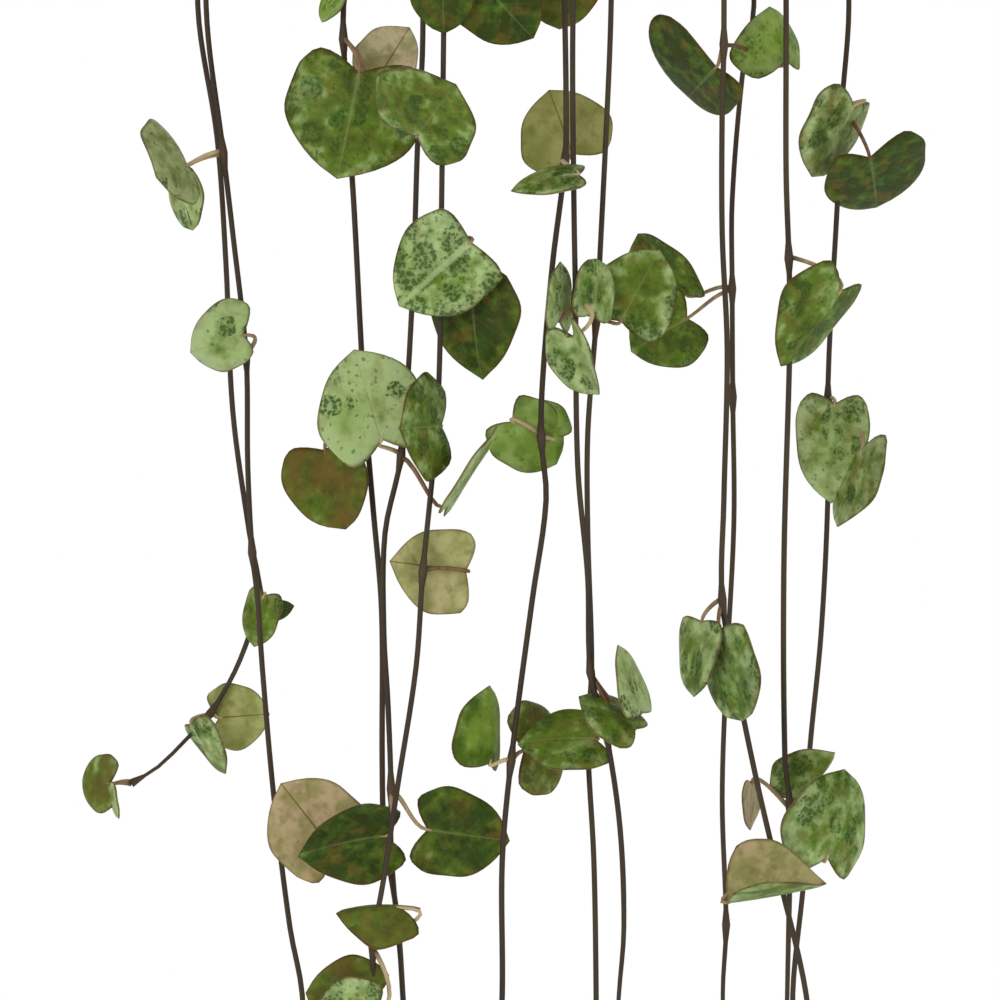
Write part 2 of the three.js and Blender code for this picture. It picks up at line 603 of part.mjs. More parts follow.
// An open hook on a short shank, with a collar under it that holds the wires' ends.
function hangerHook() {
  const centre = -hook.bore;
  const radius = hook.bore + hook.rod;
  const neck = centre - radius - hook.shank;
  const points = [new THREE.Vector3(0, 0, neck - 2), new THREE.Vector3(0, 0, neck + 5)];
  for (let angle = -62; angle <= hook.endAngle; angle += 22) {
    const turn = THREE.MathUtils.degToRad(angle);
    points.push(new THREE.Vector3(radius * Math.cos(turn), 0, centre + radius * Math.sin(turn)));
  }
  const curve = new THREE.CatmullRomCurve3(points, false, "centripetal");
  const bar = evenRod(curve.getSpacedPoints(18), hook.rod, 6);
  const sleeve = cylinder(collar.radius, collar.height, 10, 0, 0, neck - collar.height / 2);
  const seats = wire.bearings.map((bearing) => {
    const turn = THREE.MathUtils.degToRad(bearing);
    const [x, y] = [collar.pitch * Math.cos(turn), collar.pitch * Math.sin(turn)];
    const middle = neck - collar.height - 1 + (collar.seat + gap) / 2;
    return cylinder(wire.radius + gap, collar.seat + gap + 2, 6, x, y, middle);
  });
  return wasm.Manifold.difference([wasm.Manifold.union([bar, sleeve]), ...seats]);
}

// A wire of the hanger: from the collar down to the rim, in through its hole and up again.
function hangerWire(bearing) {
  const collarFoot = -hook.bore - hook.bore - hook.rod - hook.shank - collar.height;
  const outside = pot.rim + wire.radius + 1;
  const inside = pot.rim - pot.wall - wire.radius - 1.2;
  const hole = pot.top - rimHole.below + rimHole.radius - wire.radius - gap;
  const profile = [
    [collar.pitch, collarFoot + collar.seat - 1],
    [collar.pitch, collarFoot - 1],
    [collar.pitch + 1, collarFoot - 4.5],
    [outside - 3.5, pot.top + 14],
    [outside - 0.8, pot.top + 6],
    [outside, pot.top - 1],
    [outside - 0.3, hole + 1.5],
    [outside - 1.6, hole],
    [inside + 1.4, hole],
    [inside + 0.2, hole + 1.2],
    [inside, hole + 3],
    [inside, hole + wire.tip],
  ];
  const turn = THREE.MathUtils.degToRad(bearing);
  const points = profile.map(
    ([r, z]) => new THREE.Vector3(r * Math.cos(turn), r * Math.sin(turn), z),
  );
  return evenRod(points, wire.radius, 6);
}

// ---- The scene graph ----

const plant = new THREE.Group();
const routes = strands.map((one, i) => [one.name, layOut(one, i + 1)]);
shortStrands.forEach((one, i) => routes.push([one[0], layOutShort(one, i + 21)]));
for (const [name, route] of routes) plant.add(meshOf(name, leafyStem(route), 0x5f7a45, 0.55));
for (const tuber of tubers) plant.add(meshOf(tuber[0], tuberSolid(tuber), 0x8a7358, 0.85));

const holder = new THREE.Group();
const starts = routes.map(([, route]) => route[0].at);
holder.add(meshOf("pot", hangingPot(), 0xa8664a, 0.6));
holder.add(meshOf("soil", pottingSoil(starts), 0x2e2219, 0.95));
holder.add(meshOf("hanger_hook", hangerHook(), 0xb4b6b8, 0.35, 0.9));
wire.bearings.forEach((bearing, i) =>
  holder.add(meshOf(`hanger_wire_${i + 1}`, hangerWire(bearing), 0xb4b6b8, 0.35, 0.9)),
);

const stringOfHearts = new THREE.Group();
stringOfHearts.add(plant, holder);

export default stringOfHearts;
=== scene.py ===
import math
import random

import bmesh
import bpy
from mathutils import Matrix, Vector, noise


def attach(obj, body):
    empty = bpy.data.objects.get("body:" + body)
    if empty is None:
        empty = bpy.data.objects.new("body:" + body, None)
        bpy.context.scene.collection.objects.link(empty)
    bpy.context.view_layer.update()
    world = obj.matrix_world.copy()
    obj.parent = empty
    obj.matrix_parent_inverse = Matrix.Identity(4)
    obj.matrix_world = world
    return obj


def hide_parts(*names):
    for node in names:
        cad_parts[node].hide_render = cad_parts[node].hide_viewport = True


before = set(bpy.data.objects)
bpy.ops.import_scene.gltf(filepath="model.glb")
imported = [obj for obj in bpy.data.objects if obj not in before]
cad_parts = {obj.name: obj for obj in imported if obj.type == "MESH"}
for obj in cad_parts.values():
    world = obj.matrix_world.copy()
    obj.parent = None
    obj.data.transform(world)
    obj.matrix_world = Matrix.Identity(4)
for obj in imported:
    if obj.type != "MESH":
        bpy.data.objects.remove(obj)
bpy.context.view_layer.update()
mm = 0.001
crease = 0.6  # radians, past which an edge is a sharp one


class Socket:
    # a shader socket that Python maths works on, with numbers from either side

    def __init__(self, tree, out=None):
        self.tree = tree
        self.out = out

    def node(self, kind, settings=None, inputs=None, output=0):
        made = self.tree.nodes.new(kind)
        for name, value in (settings or {}).items():
            if name == "stops":
                fillRamp(made.color_ramp, value)
            else:
                setattr(made, name, value)
        for name, value in (inputs or {}).items():
            if isinstance(value, Socket):
                self.tree.links.new(value.out, made.inputs[name])
            else:
                made.inputs[name].default_value = value
        return Socket(self.tree, made.outputs[output])

    def maths(self, operation, first, second=0.0, clamp=False):
        settings = {"operation": operation, "use_clamp": clamp}
        return self.node("ShaderNodeMath", settings, {0: first, 1: second})

    def __add__(self, other):
        return self.maths("ADD", self, other)

    def __radd__(self, other):
        return self.maths("ADD", other, self)

    def __sub__(self, other):
        return self.maths("SUBTRACT", self, other)

    def __rsub__(self, other):
        return self.maths("SUBTRACT", other, self)

    def __mul__(self, other):
        return self.maths("MULTIPLY", self, other)

    def __truediv__(self, other):
        return self.maths("DIVIDE", self, other)

    def __abs__(self):
        return self.maths("ABSOLUTE", self)

    def clamped(self):
        return self.maths("ADD", self, 0.0, clamp=True)

    def between(self, low, high):
        # 0 below low, 1 above high, and a soft step from one to the other
        inputs = {"Value": self, "From Min": low, "From Max": high}
        return self.node("ShaderNodeMapRange", {"interpolation_type": "SMOOTHSTEP"}, inputs)

    def tint(self, first, second):
        # the first colour where this is 0 and the second where it is 1
        inputs = {"Factor": self, "A": colour(first), "B": colour(second)}
        return self.node("ShaderNodeMix", {"data_type": "RGBA"}, inputs, "Result")

    def other(self, name):
        # another output of the same node
        return Socket(self.tree, self.out.node.outputs[name])

    def channels(self):
        # a colour's red, green and blue
        made = self.node("ShaderNodeSeparateColor", {}, {"Color": self}).out.node
        return [Socket(self.tree, channel) for channel in made.outputs]

    def here(self):
        return self.node("ShaderNodeTexCoord", output="Object")

    def attribute(self, name, output="Color"):
        return self.node("ShaderNodeAttribute", {"attribute_name": name}, output=output)

    def noise(self, place, scale, detail=2.0, output=0):
        inputs = {"Vector": place, "Scale": scale, "Detail": detail}
        return self.node("ShaderNodeTexNoise", {}, inputs, output)

    def stretched(self, place, upShare):
        # the same place drawn out along z
        return self.node("ShaderNodeMapping", {}, {"Vector": place, "Scale": (1.0, 1.0, upShare)})

    def bump(self, strength, distance):
        inputs = {"Strength": strength, "Distance": distance, "Height": self}
        return self.node("ShaderNodeBump", {}, inputs)


def fillRamp(ramp, stops):
    for place, value in stops[1:-1]:
        ramp.elements.new(place)
    for element, (place, value) in zip(ramp.elements, stops):
        element.position = place
        element.color = colour(value)


def colour(value):
    # an 8-bit screen colour as the linear one that the shaders want
    if isinstance(value, Socket):
        return value
    screen = [v / 255 for v in value]
    linear = [c / 12.92 if c <= 0.04045 else ((c + 0.055) / 1.055) ** 2.4 for c in screen]
    return (*linear, 1.0)


def newMaterial(name, specular=0.5, **constants):
    made = bpy.data.materials.new(name)
    made.use_nodes = True
    tree = made.node_tree
    tree.nodes.clear()
    out = tree.nodes.new("ShaderNodeOutputMaterial")
    shader = tree.nodes.new("ShaderNodeBsdfPrincipled")
    tree.links.new(shader.outputs[0], out.inputs[0])
    shader.inputs["Specular IOR Level"].default_value = specular
    for key, value in constants.items():
        shader.inputs[key].default_value = value
    return made, shader, Socket(tree)


def feed(shader, sockets):
    for key, value in sockets.items():
        value.tree.links.new(value.out, shader.inputs[key])


leafPaint = {
    "pale": (178, 200, 134),
    "mid": (92, 120, 36),
    "dark": (38, 60, 18),
    "blotch": (38, 74, 24),
    "rib": (176, 196, 138),
    "margin": (84, 50, 26),
    "olive": (118, 96, 42),
    "fresh": (110, 148, 44),
    # the pale grey-green of the painted sheen on the upper face
    "paintedSheen": (184, 196, 162),
    "under": (176, 176, 112),
    "underPale": (226, 214, 176),
    "underPink": (190, 160, 126),
    "underGreen": (126, 134, 62),
    "underYoung": (152, 168, 70),
    "young": (136, 166, 62),
    "youngDeep": (72, 98, 22),
    "underRib": (112, 88, 52),
}
# noise scales, then how far the ripple shifts the dots and how the surface shines and swells
leafGrain = {
    "cloud": 75.0,
    "broad": 170.0,
    "clusters": 260.0,
    "patch": 300.0,
    "grain": 480.0,
    "ripple": 700.0,
    "fine": 900.0,
    "dots": 1450.0,
    "shift": 0.0012,
    "veins": 5.5,
    "shine": 0.09,
    "relief": 0.55,
    "reliefDepth": 0.0004,
}


def leafMaterial():
    made, shader, s = newMaterial("mottled_leaf", specular=leafGrain["shine"])
    paint, grains = leafPaint, leafGrain
    dark, red, spots = s.attribute("leafTone").channels()
    under = s.attribute("leafTone", "Alpha")
    young = s.attribute("leafYoung", "Fac")
    place = s.node("ShaderNodeSeparateXYZ", {}, {"Vector": s.attribute("leafMap", "Vector")})
    across, along, inset = place.other("X"), place.other("Y"), place.other("Z")
    here = s.here()
    broad = s.noise(here, grains["broad"], 3.0)
    cloud = s.noise(here, grains["cloud"])
    patch = s.noise(here, grains["patch"])
    grain = s.noise(here, grains["grain"], 3.0)
    fine = s.noise(here, grains["fine"], 4.0)
    ripple = s.noise(here, grains["ripple"], output="Color")
    shift = {0: ripple, 1: (grains["shift"],) * 3, 2: here}
    bent = s.node("ShaderNodeVectorMath", {"operation": "MULTIPLY_ADD"}, shift)
    cell = s.node("ShaderNodeTexVoronoi", {}, {"Vector": bent, "Scale": grains["dots"]})
    dots, dotChance = cell.other("Distance"), cell.other("Color").channels()[0]
    group = s.node("ShaderNodeTexVoronoi", {}, {"Vector": bent, "Scale": grains["clusters"]})
    nearness = 1 - group.other("Distance").between(0.44, 0.68)
    chosen = (spots * 1.25 - group.other("Color").channels()[0]).between(0.0, 0.15)
    # upper face: ground colour, dark dots in clusters, a pale rib, faint veins, a thin dark margin
    middle = abs(across)
    heart = inset.between(0.04, 0.3)
    depth = (dark + (broad - 0.54) * 1.2 + (grain - 0.5) * 1.2 + (heart - 0.5) * 0.16).clamped()
    stops = [(0.0, paint["pale"]), (0.5, paint["mid"]), (1.0, paint["dark"])]
    ground = s.node("ShaderNodeValToRGB", {"stops": stops}, {"Fac": depth})
    ground = ((cloud - 0.5) * 3.0 * heart * (1 - dark)).clamped().tint(ground, paint["fresh"])
    # painted sheen: a pale greyish wash from the broad cloud noise, stronger towards the margin and weaker
    # on darker leaves, standing in for the leaf's soft reflection
    paintedSheen = (0.52 - cloud) * 3.0 * (1 - heart * 0.6) * (1 - dark * 1.6).clamped()
    ground = paintedSheen.clamped().tint(ground, paint["paintedSheen"])
    ground = (patch.between(0.5, 0.66) * (0.36 + dark * 0.14) * (1 - young)).tint(ground, paint["olive"])
    cluster = nearness * chosen * middle.between(0.015, 0.06)
    single = (spots * 0.3 + 0.06 - dotChance).between(0.0, 0.05)
    dot = (1 - dots.between(0.34, 0.66)) * grain.between(0.3, 0.46)
    blotch = (dot * (cluster * 1.3 + single * 0.7)).clamped()
    upper = (cluster * (0.3 + dark * 0.3)).tint(ground, paint["blotch"])
    sprout = ((broad - 0.47) * 4.0 + (0.6 - heart)).clamped()
    sprout = sprout.tint(paint["young"], paint["youngDeep"])
    upper = (young * 0.8).tint(upper, sprout)
    upper = (blotch * (0.8 - young * 0.3 - dark * 0.3)).tint(upper, paint["blotch"])
    ribWidth = (spots * spots * 0.04 * (1 - under) + 0.022) * (1 - along * 0.65)
    ribLine = (1 - middle / ribWidth).between(0.0, 0.6)
    slant = (along - middle * 0.85 + grain * 0.04) * grains["veins"]
    wave = s.node("ShaderNodeMath", {"operation": "FRACT"}, {0: slant})
    vein = (1 - abs(wave - 0.5).between(0.02, 0.12)) * (1 - middle.between(0.2, 0.45))
    upper = (ribLine * (spots * spots * 0.45 + 0.07) + vein * 0.03).tint(upper, paint["rib"])
    upper = (red * (broad - 0.3) * 3.0).clamped().tint(upper, paint["olive"])
    edge = 1 - inset.between(0.0, 0.04)
    upper = (edge * 0.7).tint(upper, paint["margin"])
    # underside: beige to pink, greener in places, the rib brown
    below = (red + (cloud - 0.5) * 2.4).clamped().tint(paint["under"], paint["underPink"])
    below = (dark * 0.7 + (broad - 0.5) * 1.2).clamped().tint(below, paint["underGreen"])
    below = (young * 0.8).tint(below, paint["underYoung"])
    below = (spots * 0.7).tint(below, paint["underPale"])
    below = (patch.between(0.42, 0.66) * 0.6).tint(below, paint["underGreen"])
    below = (grain.between(0.5, 0.7) * 0.35).tint(below, paint["underRib"])
    below = (ribLine * 0.8 + vein * 0.05).tint(below, paint["underRib"])
    below = (edge * 0.5).tint(below, paint["margin"])
    height = broad * 2.2 + grain * 0.8 + fine * 0.25 - ribLine * 0.5 - vein * 0.15 - blotch * 0.25
    relief = height.bump(grains["relief"], grains["reliefDepth"])
    rough = 0.42 + fine * 0.16 + under * 0.14
    feed(shader, {"Base Color": under.tint(upper, below), "Roughness": rough, "Normal": relief})
    return made


stemPaint = {
    "bark": (52, 38, 30),
    "olive": (78, 66, 38),
    "node": (84, 62, 42),
    "stalk": (206, 184, 140),
    "stalkRed": (112, 72, 46),
}


def stemMaterial():
    made, shader, s = newMaterial("thin_stem", specular=0.35)
    stalk, young, swollen = s.attribute("stemTone").channels()
    here = s.here()
    streak = s.noise(s.stretched(here, 0.25), 700.0, 3.0)
    patch = s.noise(here, 60.0)
    bark = ((patch - 0.35) * 1.5 + young).clamped().tint(stemPaint["bark"], stemPaint["olive"])
    bark = (swollen * 0.7).tint(bark, stemPaint["node"])
    pale = (young + (streak - 0.5) * 0.8).clamped().tint(stemPaint["stalk"], stemPaint["stalkRed"])
    relief = streak.bump(0.4, 0.0002)
    feed(shader, {"Base Color": stalk.tint(bark, pale), "Roughness": 0.5 + streak * 0.2, "Normal": relief})
    return made


pot = {
    "rim": 62.0,
    "foot": 43.0,
    "height": 96.0,
    "wall": 2.2,
    "band": 14.0,
    "lip": 3.0,
    "top": -175.0,
    "corner": 0.35,
    "sides": 112,
}
soilTop = pot["top"] - 12.0
potBottom = pot["top"] - pot["height"]
footTop = potBottom - 14.0  # drops along a strand are measured down from here
# where the front plan is seen from: aside, off the pot's axis, off the plan and below footTop
viewer = {"x": -4.5, "distance": 2060.0, "plan": 2000.0, "drop": 90.0}
habit = {
    "ring": 63.0,
    "roots": (0.4, 0.52),
    "crest": 0.95,
    "bladeLow": 12.0,
    "bladeHigh": 16.0,
    "reach": 4.2,
    "droopLow": 42.0,
    "droopHigh": 74.0,
    "tipShare": 0.5,
    "sway": 1.5,
    "tones": ["pale", "mid", "dark", "mid"],
    "crowned": ["strand_02", "strand_05", "strand_11", "strand_12", "strand_14"],
}
upward = Vector((0, 0, 1))


def share(low, high, part):
    return low + (high - low) * part


def draw(seed):
    # a number from 0 to 1, always the same for the same seed
    wave = math.sin(seed * 127.1 + 11.7) * 43758.5453
    return wave - math.floor(wave)


def leaf(x, drop, tipX, tipDrop, lean, roll, forward, tone, **shape):
    # the notch and the tip as seen in the front plan, the rib's lean to the front, the turn about
    # the rib, how far the notch stands forward of the stem, and what differs from bladeForm
    along = Vector((tipX - x, 0, drop - tipDrop))
    facing = Vector((0, -1, 0))
    lean, roll = math.radians(lean), math.radians(roll)
    length = along.length / math.cos(lean)
    along.normalize()
    rib = along * math.cos(lean) + facing * math.sin(lean)
    flat = facing * math.cos(lean) - along * math.sin(lean)
    face = flat * math.cos(roll) + rib.cross(flat) * math.sin(roll)
    notch = Vector((x, -forward, -drop))
    return {"length": length, "notch": notch, "rib": rib, "face": face, "tone": tone, **shape}


def ruleLeaf(length, angle, droop, rise, tone):
    # a leaf that reaches out at an angle round the stem and droops
    out = Vector((math.cos(angle), math.sin(angle), 0))
    rib = out * math.cos(droop) - upward * math.sin(droop)
    face = out * math.sin(droop) + upward * math.cos(droop)
    offset = out * habit["reach"] + upward * rise
    return {"length": length, "offset": offset, "rib": rib, "face": face, "tone": tone}


def swungLeaf(outward, swing, seed, size):
    length = share(habit["bladeLow"], habit["bladeHigh"], draw(seed)) * size
    droop = share(habit["droopLow"], habit["droopHigh"], draw(seed + 1))
    tone = habit["tones"][math.floor(draw(seed + 2) * 4)]
    return ruleLeaf(length, outward + math.radians(swing), math.radians(droop), -1, tone)


def crownLeaf(outward, seed):
    length = share(habit["bladeLow"], habit["bladeHigh"], draw(seed + 3))
    swing = share(-0.9, 0.9, draw(seed + 5))
    return ruleLeaf(length, outward + math.pi + swing, 0.35, 5, habit["tones"][seed % 4])


def point(at, leaves=(), swollen=False):
    return {"at": at, "leaves": list(leaves), "swollen": swollen}


def bend(x, drop):
    return {"x": x, "drop": drop, "swollen": False, "leaves": []}


def node(x, drop, *leaves):
    placed = [{**one, "offset": one["notch"] - Vector((x, 0, -drop))} for one in leaves]
    return {"x": x, "drop": drop, "swollen": True, "leaves": placed}


def strand(name, rimX, rimY, depth, beside, points, tail):
    # where it crosses the rim, how far back it hangs, the leaves beside the pot and in the tail,
    # each as a drop and a swing, and the points from the pot's foot down
    places = {"rim": (rimX, rimY), "depth": depth, "points": points}
    return {"name": name, "beside": beside, "tail": tail, **places}


strands = [
    strand("strand_01", -58.9, 24, 24, [[32, 35], [70, -40]], [
        bend(-58.9, 1), bend(-55.4, 25), bend(-53.8, 48), bend(-52.6, 74), bend(-49.6, 96),
        node(-47.6, 108,
            leaf(-46.8, 107.2, -49.8, 116, 0, 46, 3, "mid", wide=0.85, point=0.6, lobe=0.12, behind=2),
            leaf(-48.4, 110.2, -41.6, 109.6, 0, 30, -2, "dark", wide=0.6, bow=1)),
        bend(-49.5, 114), bend(-52.3, 121),
        node(-56.7, 128.5,
            leaf(-55.1, 129.2, -45.9, 128.5, 0, 180, -1, "lime", wide=1.05),
            leaf(-60, 130.3, -54.4, 139.3, 0, 68, 2.5, "mid", fold=0, lobe=0.05, curl=6, dark=0.4,
                behind=3)),
        bend(-60.9, 133), bend(-66, 138),
        node(-70.9, 141,
            leaf(-74.7, 141.1, -80.4, 140.5, -45, 0, 0, "olive", wide=1.05, curl=12),
            leaf(-74.6, 141.8, -74, 147.4, 0, 78, 1, "grey", dark=0.1, spots=0)),
    ], []),
    strand("strand_02", -57.4, -27, -27, [[24, -35], [60, 40]], [
        bend(-57.4, 1),
        node(-54.3, 27.5,
            leaf(-60.8, 29.7, -65, 31.8, 67, 0, 1, "grey", wide=1.12, skew=0.2, lobe=0.04, curl=10,
                spots=0.15, dark=0.12, stalk=0.1),
            leaf(-62.1, 32.2, -60.7, 41.3, 0, 60, -4, "grey", wide=1.06, point=0.5, spots=0.15,
                stalk=0.1)),
        bend(-52.6, 42),
        node(-50.2, 64,
            leaf(-50.6, 60.4, -60.3, 63.2, 0, 8, 3, "light", bow=2, skew=0.15, shear=-0.2, lobe=0.16,
                dark=0.08, spots=0.2, stalk=0.6, young=0.25)),
        bend(-49.9, 84),
        node(-49.1, 99.5),
        bend(-48.1, 108), bend(-47.3, 120), bend(-45.2, 143.5), bend(-42.3, 167), bend(-40.1, 179),
    ], [[26, -20], [50, 70]]),
    strand("strand_03", -32.6, -54.4, -54.4, [[28, -45], [66, -40]], [
        node(-32.6, -2,
            leaf(-33.7, -0.9, -37.1, 3.5, 0, 55, 0, "lime")),
        node(-32.7, 7,
            leaf(-29.8, 13.3, -33.7, 31.9, 8, 0, 5, "mid", wide=1.06, skew=-0.06, lobe=0.17, stalk=0.7),
            leaf(-26.2, 13.4, -21.3, 5.4, -30, 180, -3, "pink", wide=0.84, skew=0.1, stalk=0.5)),
        bend(-30.8, 37), bend(-29.6, 60),
        node(-28.8, 74,
            leaf(-36, 81, -33, 95.2, 0, 27, 1, "bronze", fold=27, wide=1.03, point=0.65, lobe=0.1)),
        bend(-27.3, 92), bend(-25.8, 110), bend(-25.7, 138),
        node(-25.3, 150,
            leaf(-34.6, 153, -43.9, 141.1, 0, 180, -3, "beige", wide=0.95)),
        bend(-23, 165), bend(-22, 179),
    ], [[26, -75], [44, -60]]),
    strand("strand_04", -18.4, -60.5, -61, [[46, -22]], [
        bend(-18.4, 7), bend(-19.3, 25), bend(-20.3, 54),
        node(-22.3, 82,
            # dark below zero paints this leaf paler than its tone and gives it a little more painted
            # sheen: painted light where the leaf is well lit
            leaf(-25.7, 79.2, -30.4, 63.4, 8, 4, 4, "pale", wide=0.97, spots=0.22, young=0.15,
                dark=-0.22, bow=-2, stalk=0.0),
            leaf(-14, 90.6, -4.8, 77.4, 0, 86, 7, "grey", lobe=0.14, curl=4, spots=0.05, dark=0.12,
                stalk=0.8)),
        bend(-25.2, 96), bend(-25.4, 114), bend(-24.7, 126),
        node(-24.1, 142,
            leaf(-25.2, 150.6, -40.9, 152.6, 0, 48, 1.5, "dark", point=0.9, stalk=0.6),
            leaf(-17.6, 149.4, -2.9, 151.5, 0, 0, -2.5, "dark", wide=0.86, lobe=0.17, stalk=0.4)),
        bend(-24.1, 153), bend(-22, 179),
    ], [[14, 80]]),
    strand("strand_05", -13, -62.2, -69.5, [[24, 22], [70, 20]], [
        node(-14.5, -5,
            leaf(-14.9, -5.2, -14.6, 6, 0, 0, 3, "dark", wide=0.84, point=0.6),
            leaf(-8.5, -4, 1.2, 7, 0, 10, 0, "dark", wide=0.88, point=0.65)),
        node(-14.8, 20,
            leaf(-19.4, 24.6, -13, 16.5, 46, 0, 4, "mid", wide=1.12, skew=-0.14, curl=8, dark=0.58,
                spots=0.3)),
        node(-15.1, 44,
            leaf(-9.7, 43.6, -22.6, 55, 0, 0, 3.5, "pale", lobe=0.05, wide=0.87, dark=0.16, behind=2),
            leaf(-9.4, 52.4, -9, 68.3, 0, 30, -1, "dark", wide=0.93, point=0.85, flank=1.8)),
        bend(-15.3, 62),
        node(-15.9, 77,
            leaf(-15.1, 76.7, -21.4, 77.2, 64, 0, 2, "mid", wide=1.06, curl=8)),
        bend(-17.1, 90),
        node(-18.4, 103,
            leaf(-10.6, 102.8, -24.5, 101, 0, 180, -3, "fawn", wide=0.9, lobe=0.08, skew=0.08,
                point=0.85, stalk=0.9)),
        bend(-19.6, 120), bend(-23, 142), bend(-25.4, 158),
        node(-27.4, 170.5,
            leaf(-22.4, 163.4, -33.9, 162.6, 0, 58, 0.5, "olive", fold=-26, bow=5, lobe=0.34, dark=0.75,
                stalk=0.1),
            leaf(-27.2, 182.2, -38.4, 184, 0, -20, 3, "pale", bow=2, dark=0.2, stalk=0.1)),
        node(-26.8, 183,
            leaf(-27.4, 180, -39.4, 178.8, 0, 0, 0.5, "olive", dark=0.78)),
    ], [[20, 0], [40, 60], [58, -70]]),
    strand("strand_06", 5.5, -63.2, -62.5, [[44, -12]], [
        node(7, -6,
            leaf(6.7, -5.4, 6.2, 5, 0, 0, -3.5, "bronze", point=0.6, wide=1.05)),
        bend(7.4, 18),
        node(7.2, 29,
            leaf(8.6, 27.6, 4.4, 16.2, 0, 180, -5.5, "oliveUnder", wide=1.12, lobe=0.14),
            leaf(9.6, 31.9, -2.6, 32.9, 0, 60, 13, "grey", wide=0.64, lobe=0.1, dark=0.36, bow=-3,
                stalk=0.1)),
        bend(4.9, 48), bend(3.2, 68),
        node(2.9, 78.7,
            leaf(-2.3, 75.8, 5.8, 83.6, 0, 0, -2, "fresh", wide=0.95, point=0.6, stalk=0.2),
            leaf(5, 78.8, -1.2, 73, 0, -10, -3.5, "fresh", wide=0.95, point=0.6, stalk=0.2)),
        bend(3.8, 90), bend(1.3, 108),
        node(-2.5, 137,
            leaf(-6.4, 137.4, -4, 123.8, 0, 62, 1, "fresh", fold=-10, wide=1.05, lobe=0.1, stalk=0.0),
            leaf(-0.2, 135.2, 8.8, 133.6, -42, 0, -3, "bronze", wide=1.14, dark=0.6)),
        bend(-4.1, 155), bend(-4.1, 179),
    ], [[24, -15], [44, 80]]),
    strand("strand_07", 11, -62.4, -69, [[74, -8]], [
        bend(8.6, 6), bend(8.8, 36),
        node(9.1, 54.5,
            leaf(8.9, 60.7, 12.8, 71, 0, 55, 5, "light", wide=1.12, fold=34, bow=4.5, behind=-3,
                lobe=0.3, curl=6, dark=0.2, spots=0.3, stalk=0.0),
            leaf(11.9, 56.6, 14.3, 46.6, 0, 50, 0, "pale", wide=0.92, lobe=0.1, point=0.5, cusp=0,
                dark=0.2, spots=0.35),
            leaf(6, 57.6, 7, 47.4, 0, 68, 1.5, "light", fold=10, curl=8, dark=0.1, spots=0.3)),
        bend(9.5, 84), bend(11.3, 104),
        node(11.8, 121,
            leaf(19.8, 131.2, 11, 123.7, 0, 59, 2.5, "mid", fold=1, lobe=0.12, dark=0.5, spots=0.25,
                bow=-3, behind=2, stalk=0.9),
            leaf(20.8, 128.4, 17.4, 116.2, 0, 71, 1, "grey", fold=8, curl=6, lobe=0.03, dark=0.12,
                spots=0.1, bow=-3, behind=2, stalk=0.9)),
        node(14.6, 132),
        bend(17.1, 149), bend(17.8, 167), bend(16.9, 179),
    ], [[18, 75]]),
    strand("strand_08", 17.5, -60.6, -60.6, [[26, 15]], [
        bend(15.5, 1), bend(15.1, 13), bend(13.7, 42),
        node(12.8, 58,
            leaf(17.2, 57.9, 24.2, 45.1, 0, 0, 1.5, "mid", wide=0.86, lobe=0.08, spots=0.35, dark=0.42,
                stalk=0.8)),
        bend(11.3, 78), bend(11.3, 96), bend(12, 120),
        node(11.3, 133,
            leaf(12.7, 133, -1.2, 132.6, 0, 35, 4.4, "mid", wide=0.76, point=0.75, spots=0.3, dark=0.6,
                behind=2)),
        bend(12.4, 155), bend(12.8, 179),
    ], [[30, 70], [50, -60]]),
    strand("strand_09", 36.2, -52.2, -52.2, [[40, -20], [76, 10]], [
        node(35.8, 8,
            leaf(34.5, 12, 28, 18.6, -55, 0, -2, "dark", wide=1.08, skew=0.3, lobe=0.12, dark=1),
            leaf(47.2, 10.4, 44.8, 0.6, 0, 30, -14, "lime", fold=-30, wide=1.3, point=0.62, behind=16,
                spots=0.35, stalk=0.9)),
        bend(35.5, 19), bend(35.5, 42), bend(36.4, 63), bend(35.8, 90),
        node(35.5, 108,
            leaf(31.8, 111.8, 29.6, 125, 0, 65, 1, "light", point=0.65, lobe=0.04, curl=8, dark=0.32,
                spots=0.4, behind=2),
            leaf(34.9, 113.2, 38.4, 129.9, 0, 65, 5, "light", point=0.5, lobe=0.04, curl=6, flank=3,
                cusp=0, dark=0.4, spots=0.35, behind=3)),
        bend(38.3, 124), bend(41.8, 141),
        node(45.4, 156.5,
            leaf(36.1, 162.3, 53.9, 160.2, 0, 121, 4, "beige", fold=-42, wide=0.88, lobe=0.06,
                taper=0.35, dark=0.4, young=0.15, flank=1.7)),
        bend(50.6, 179),
    ], [[20, 10], [42, -60], [64, 60]]),
    strand("strand_10", 41.2, 48.3, 48.3, [[26, -40], [62, 35]], [
        bend(41.2, 1), bend(39.2, 13), bend(37.3, 36),
        node(37.3, 52,
            leaf(28.6, 52.8, 19.4, 43, 0, -40, -2, "dark", fold=30, dark=0.7, stalk=0.5),
            leaf(29.2, 57.3, 19.2, 63.2, 0, 0, 1, "mid", lobe=0.15, dark=0.68, stalk=0.7)),
        node(37.4, 71.5),
        bend(37.6, 94), bend(36.2, 122), bend(35.5, 144),
        node(36.2, 166.5),
        bend(35.6, 179),
    ], [[24, 30]]),
    strand("strand_11", 47, -42.7, -42.7, [[22, 30], [58, 40]], [
        bend(47, 1), bend(47, 31),
        node(47.5, 46.5,
            leaf(56.7, 52.4, 47, 66.2, 0, -54, 2, "mid", wide=0.92, fold=-8, lobe=0.2, curl=8, dark=0.62,
                behind=3, spots=0.3, stalk=0.4)),
        bend(47.7, 60), bend(46.6, 102), bend(46.8, 137),
        node(47.7, 145,
            leaf(49.2, 144, 56.4, 136.2, 0, 39, -3, "mid", fold=-39, dark=0.42, young=0.2),
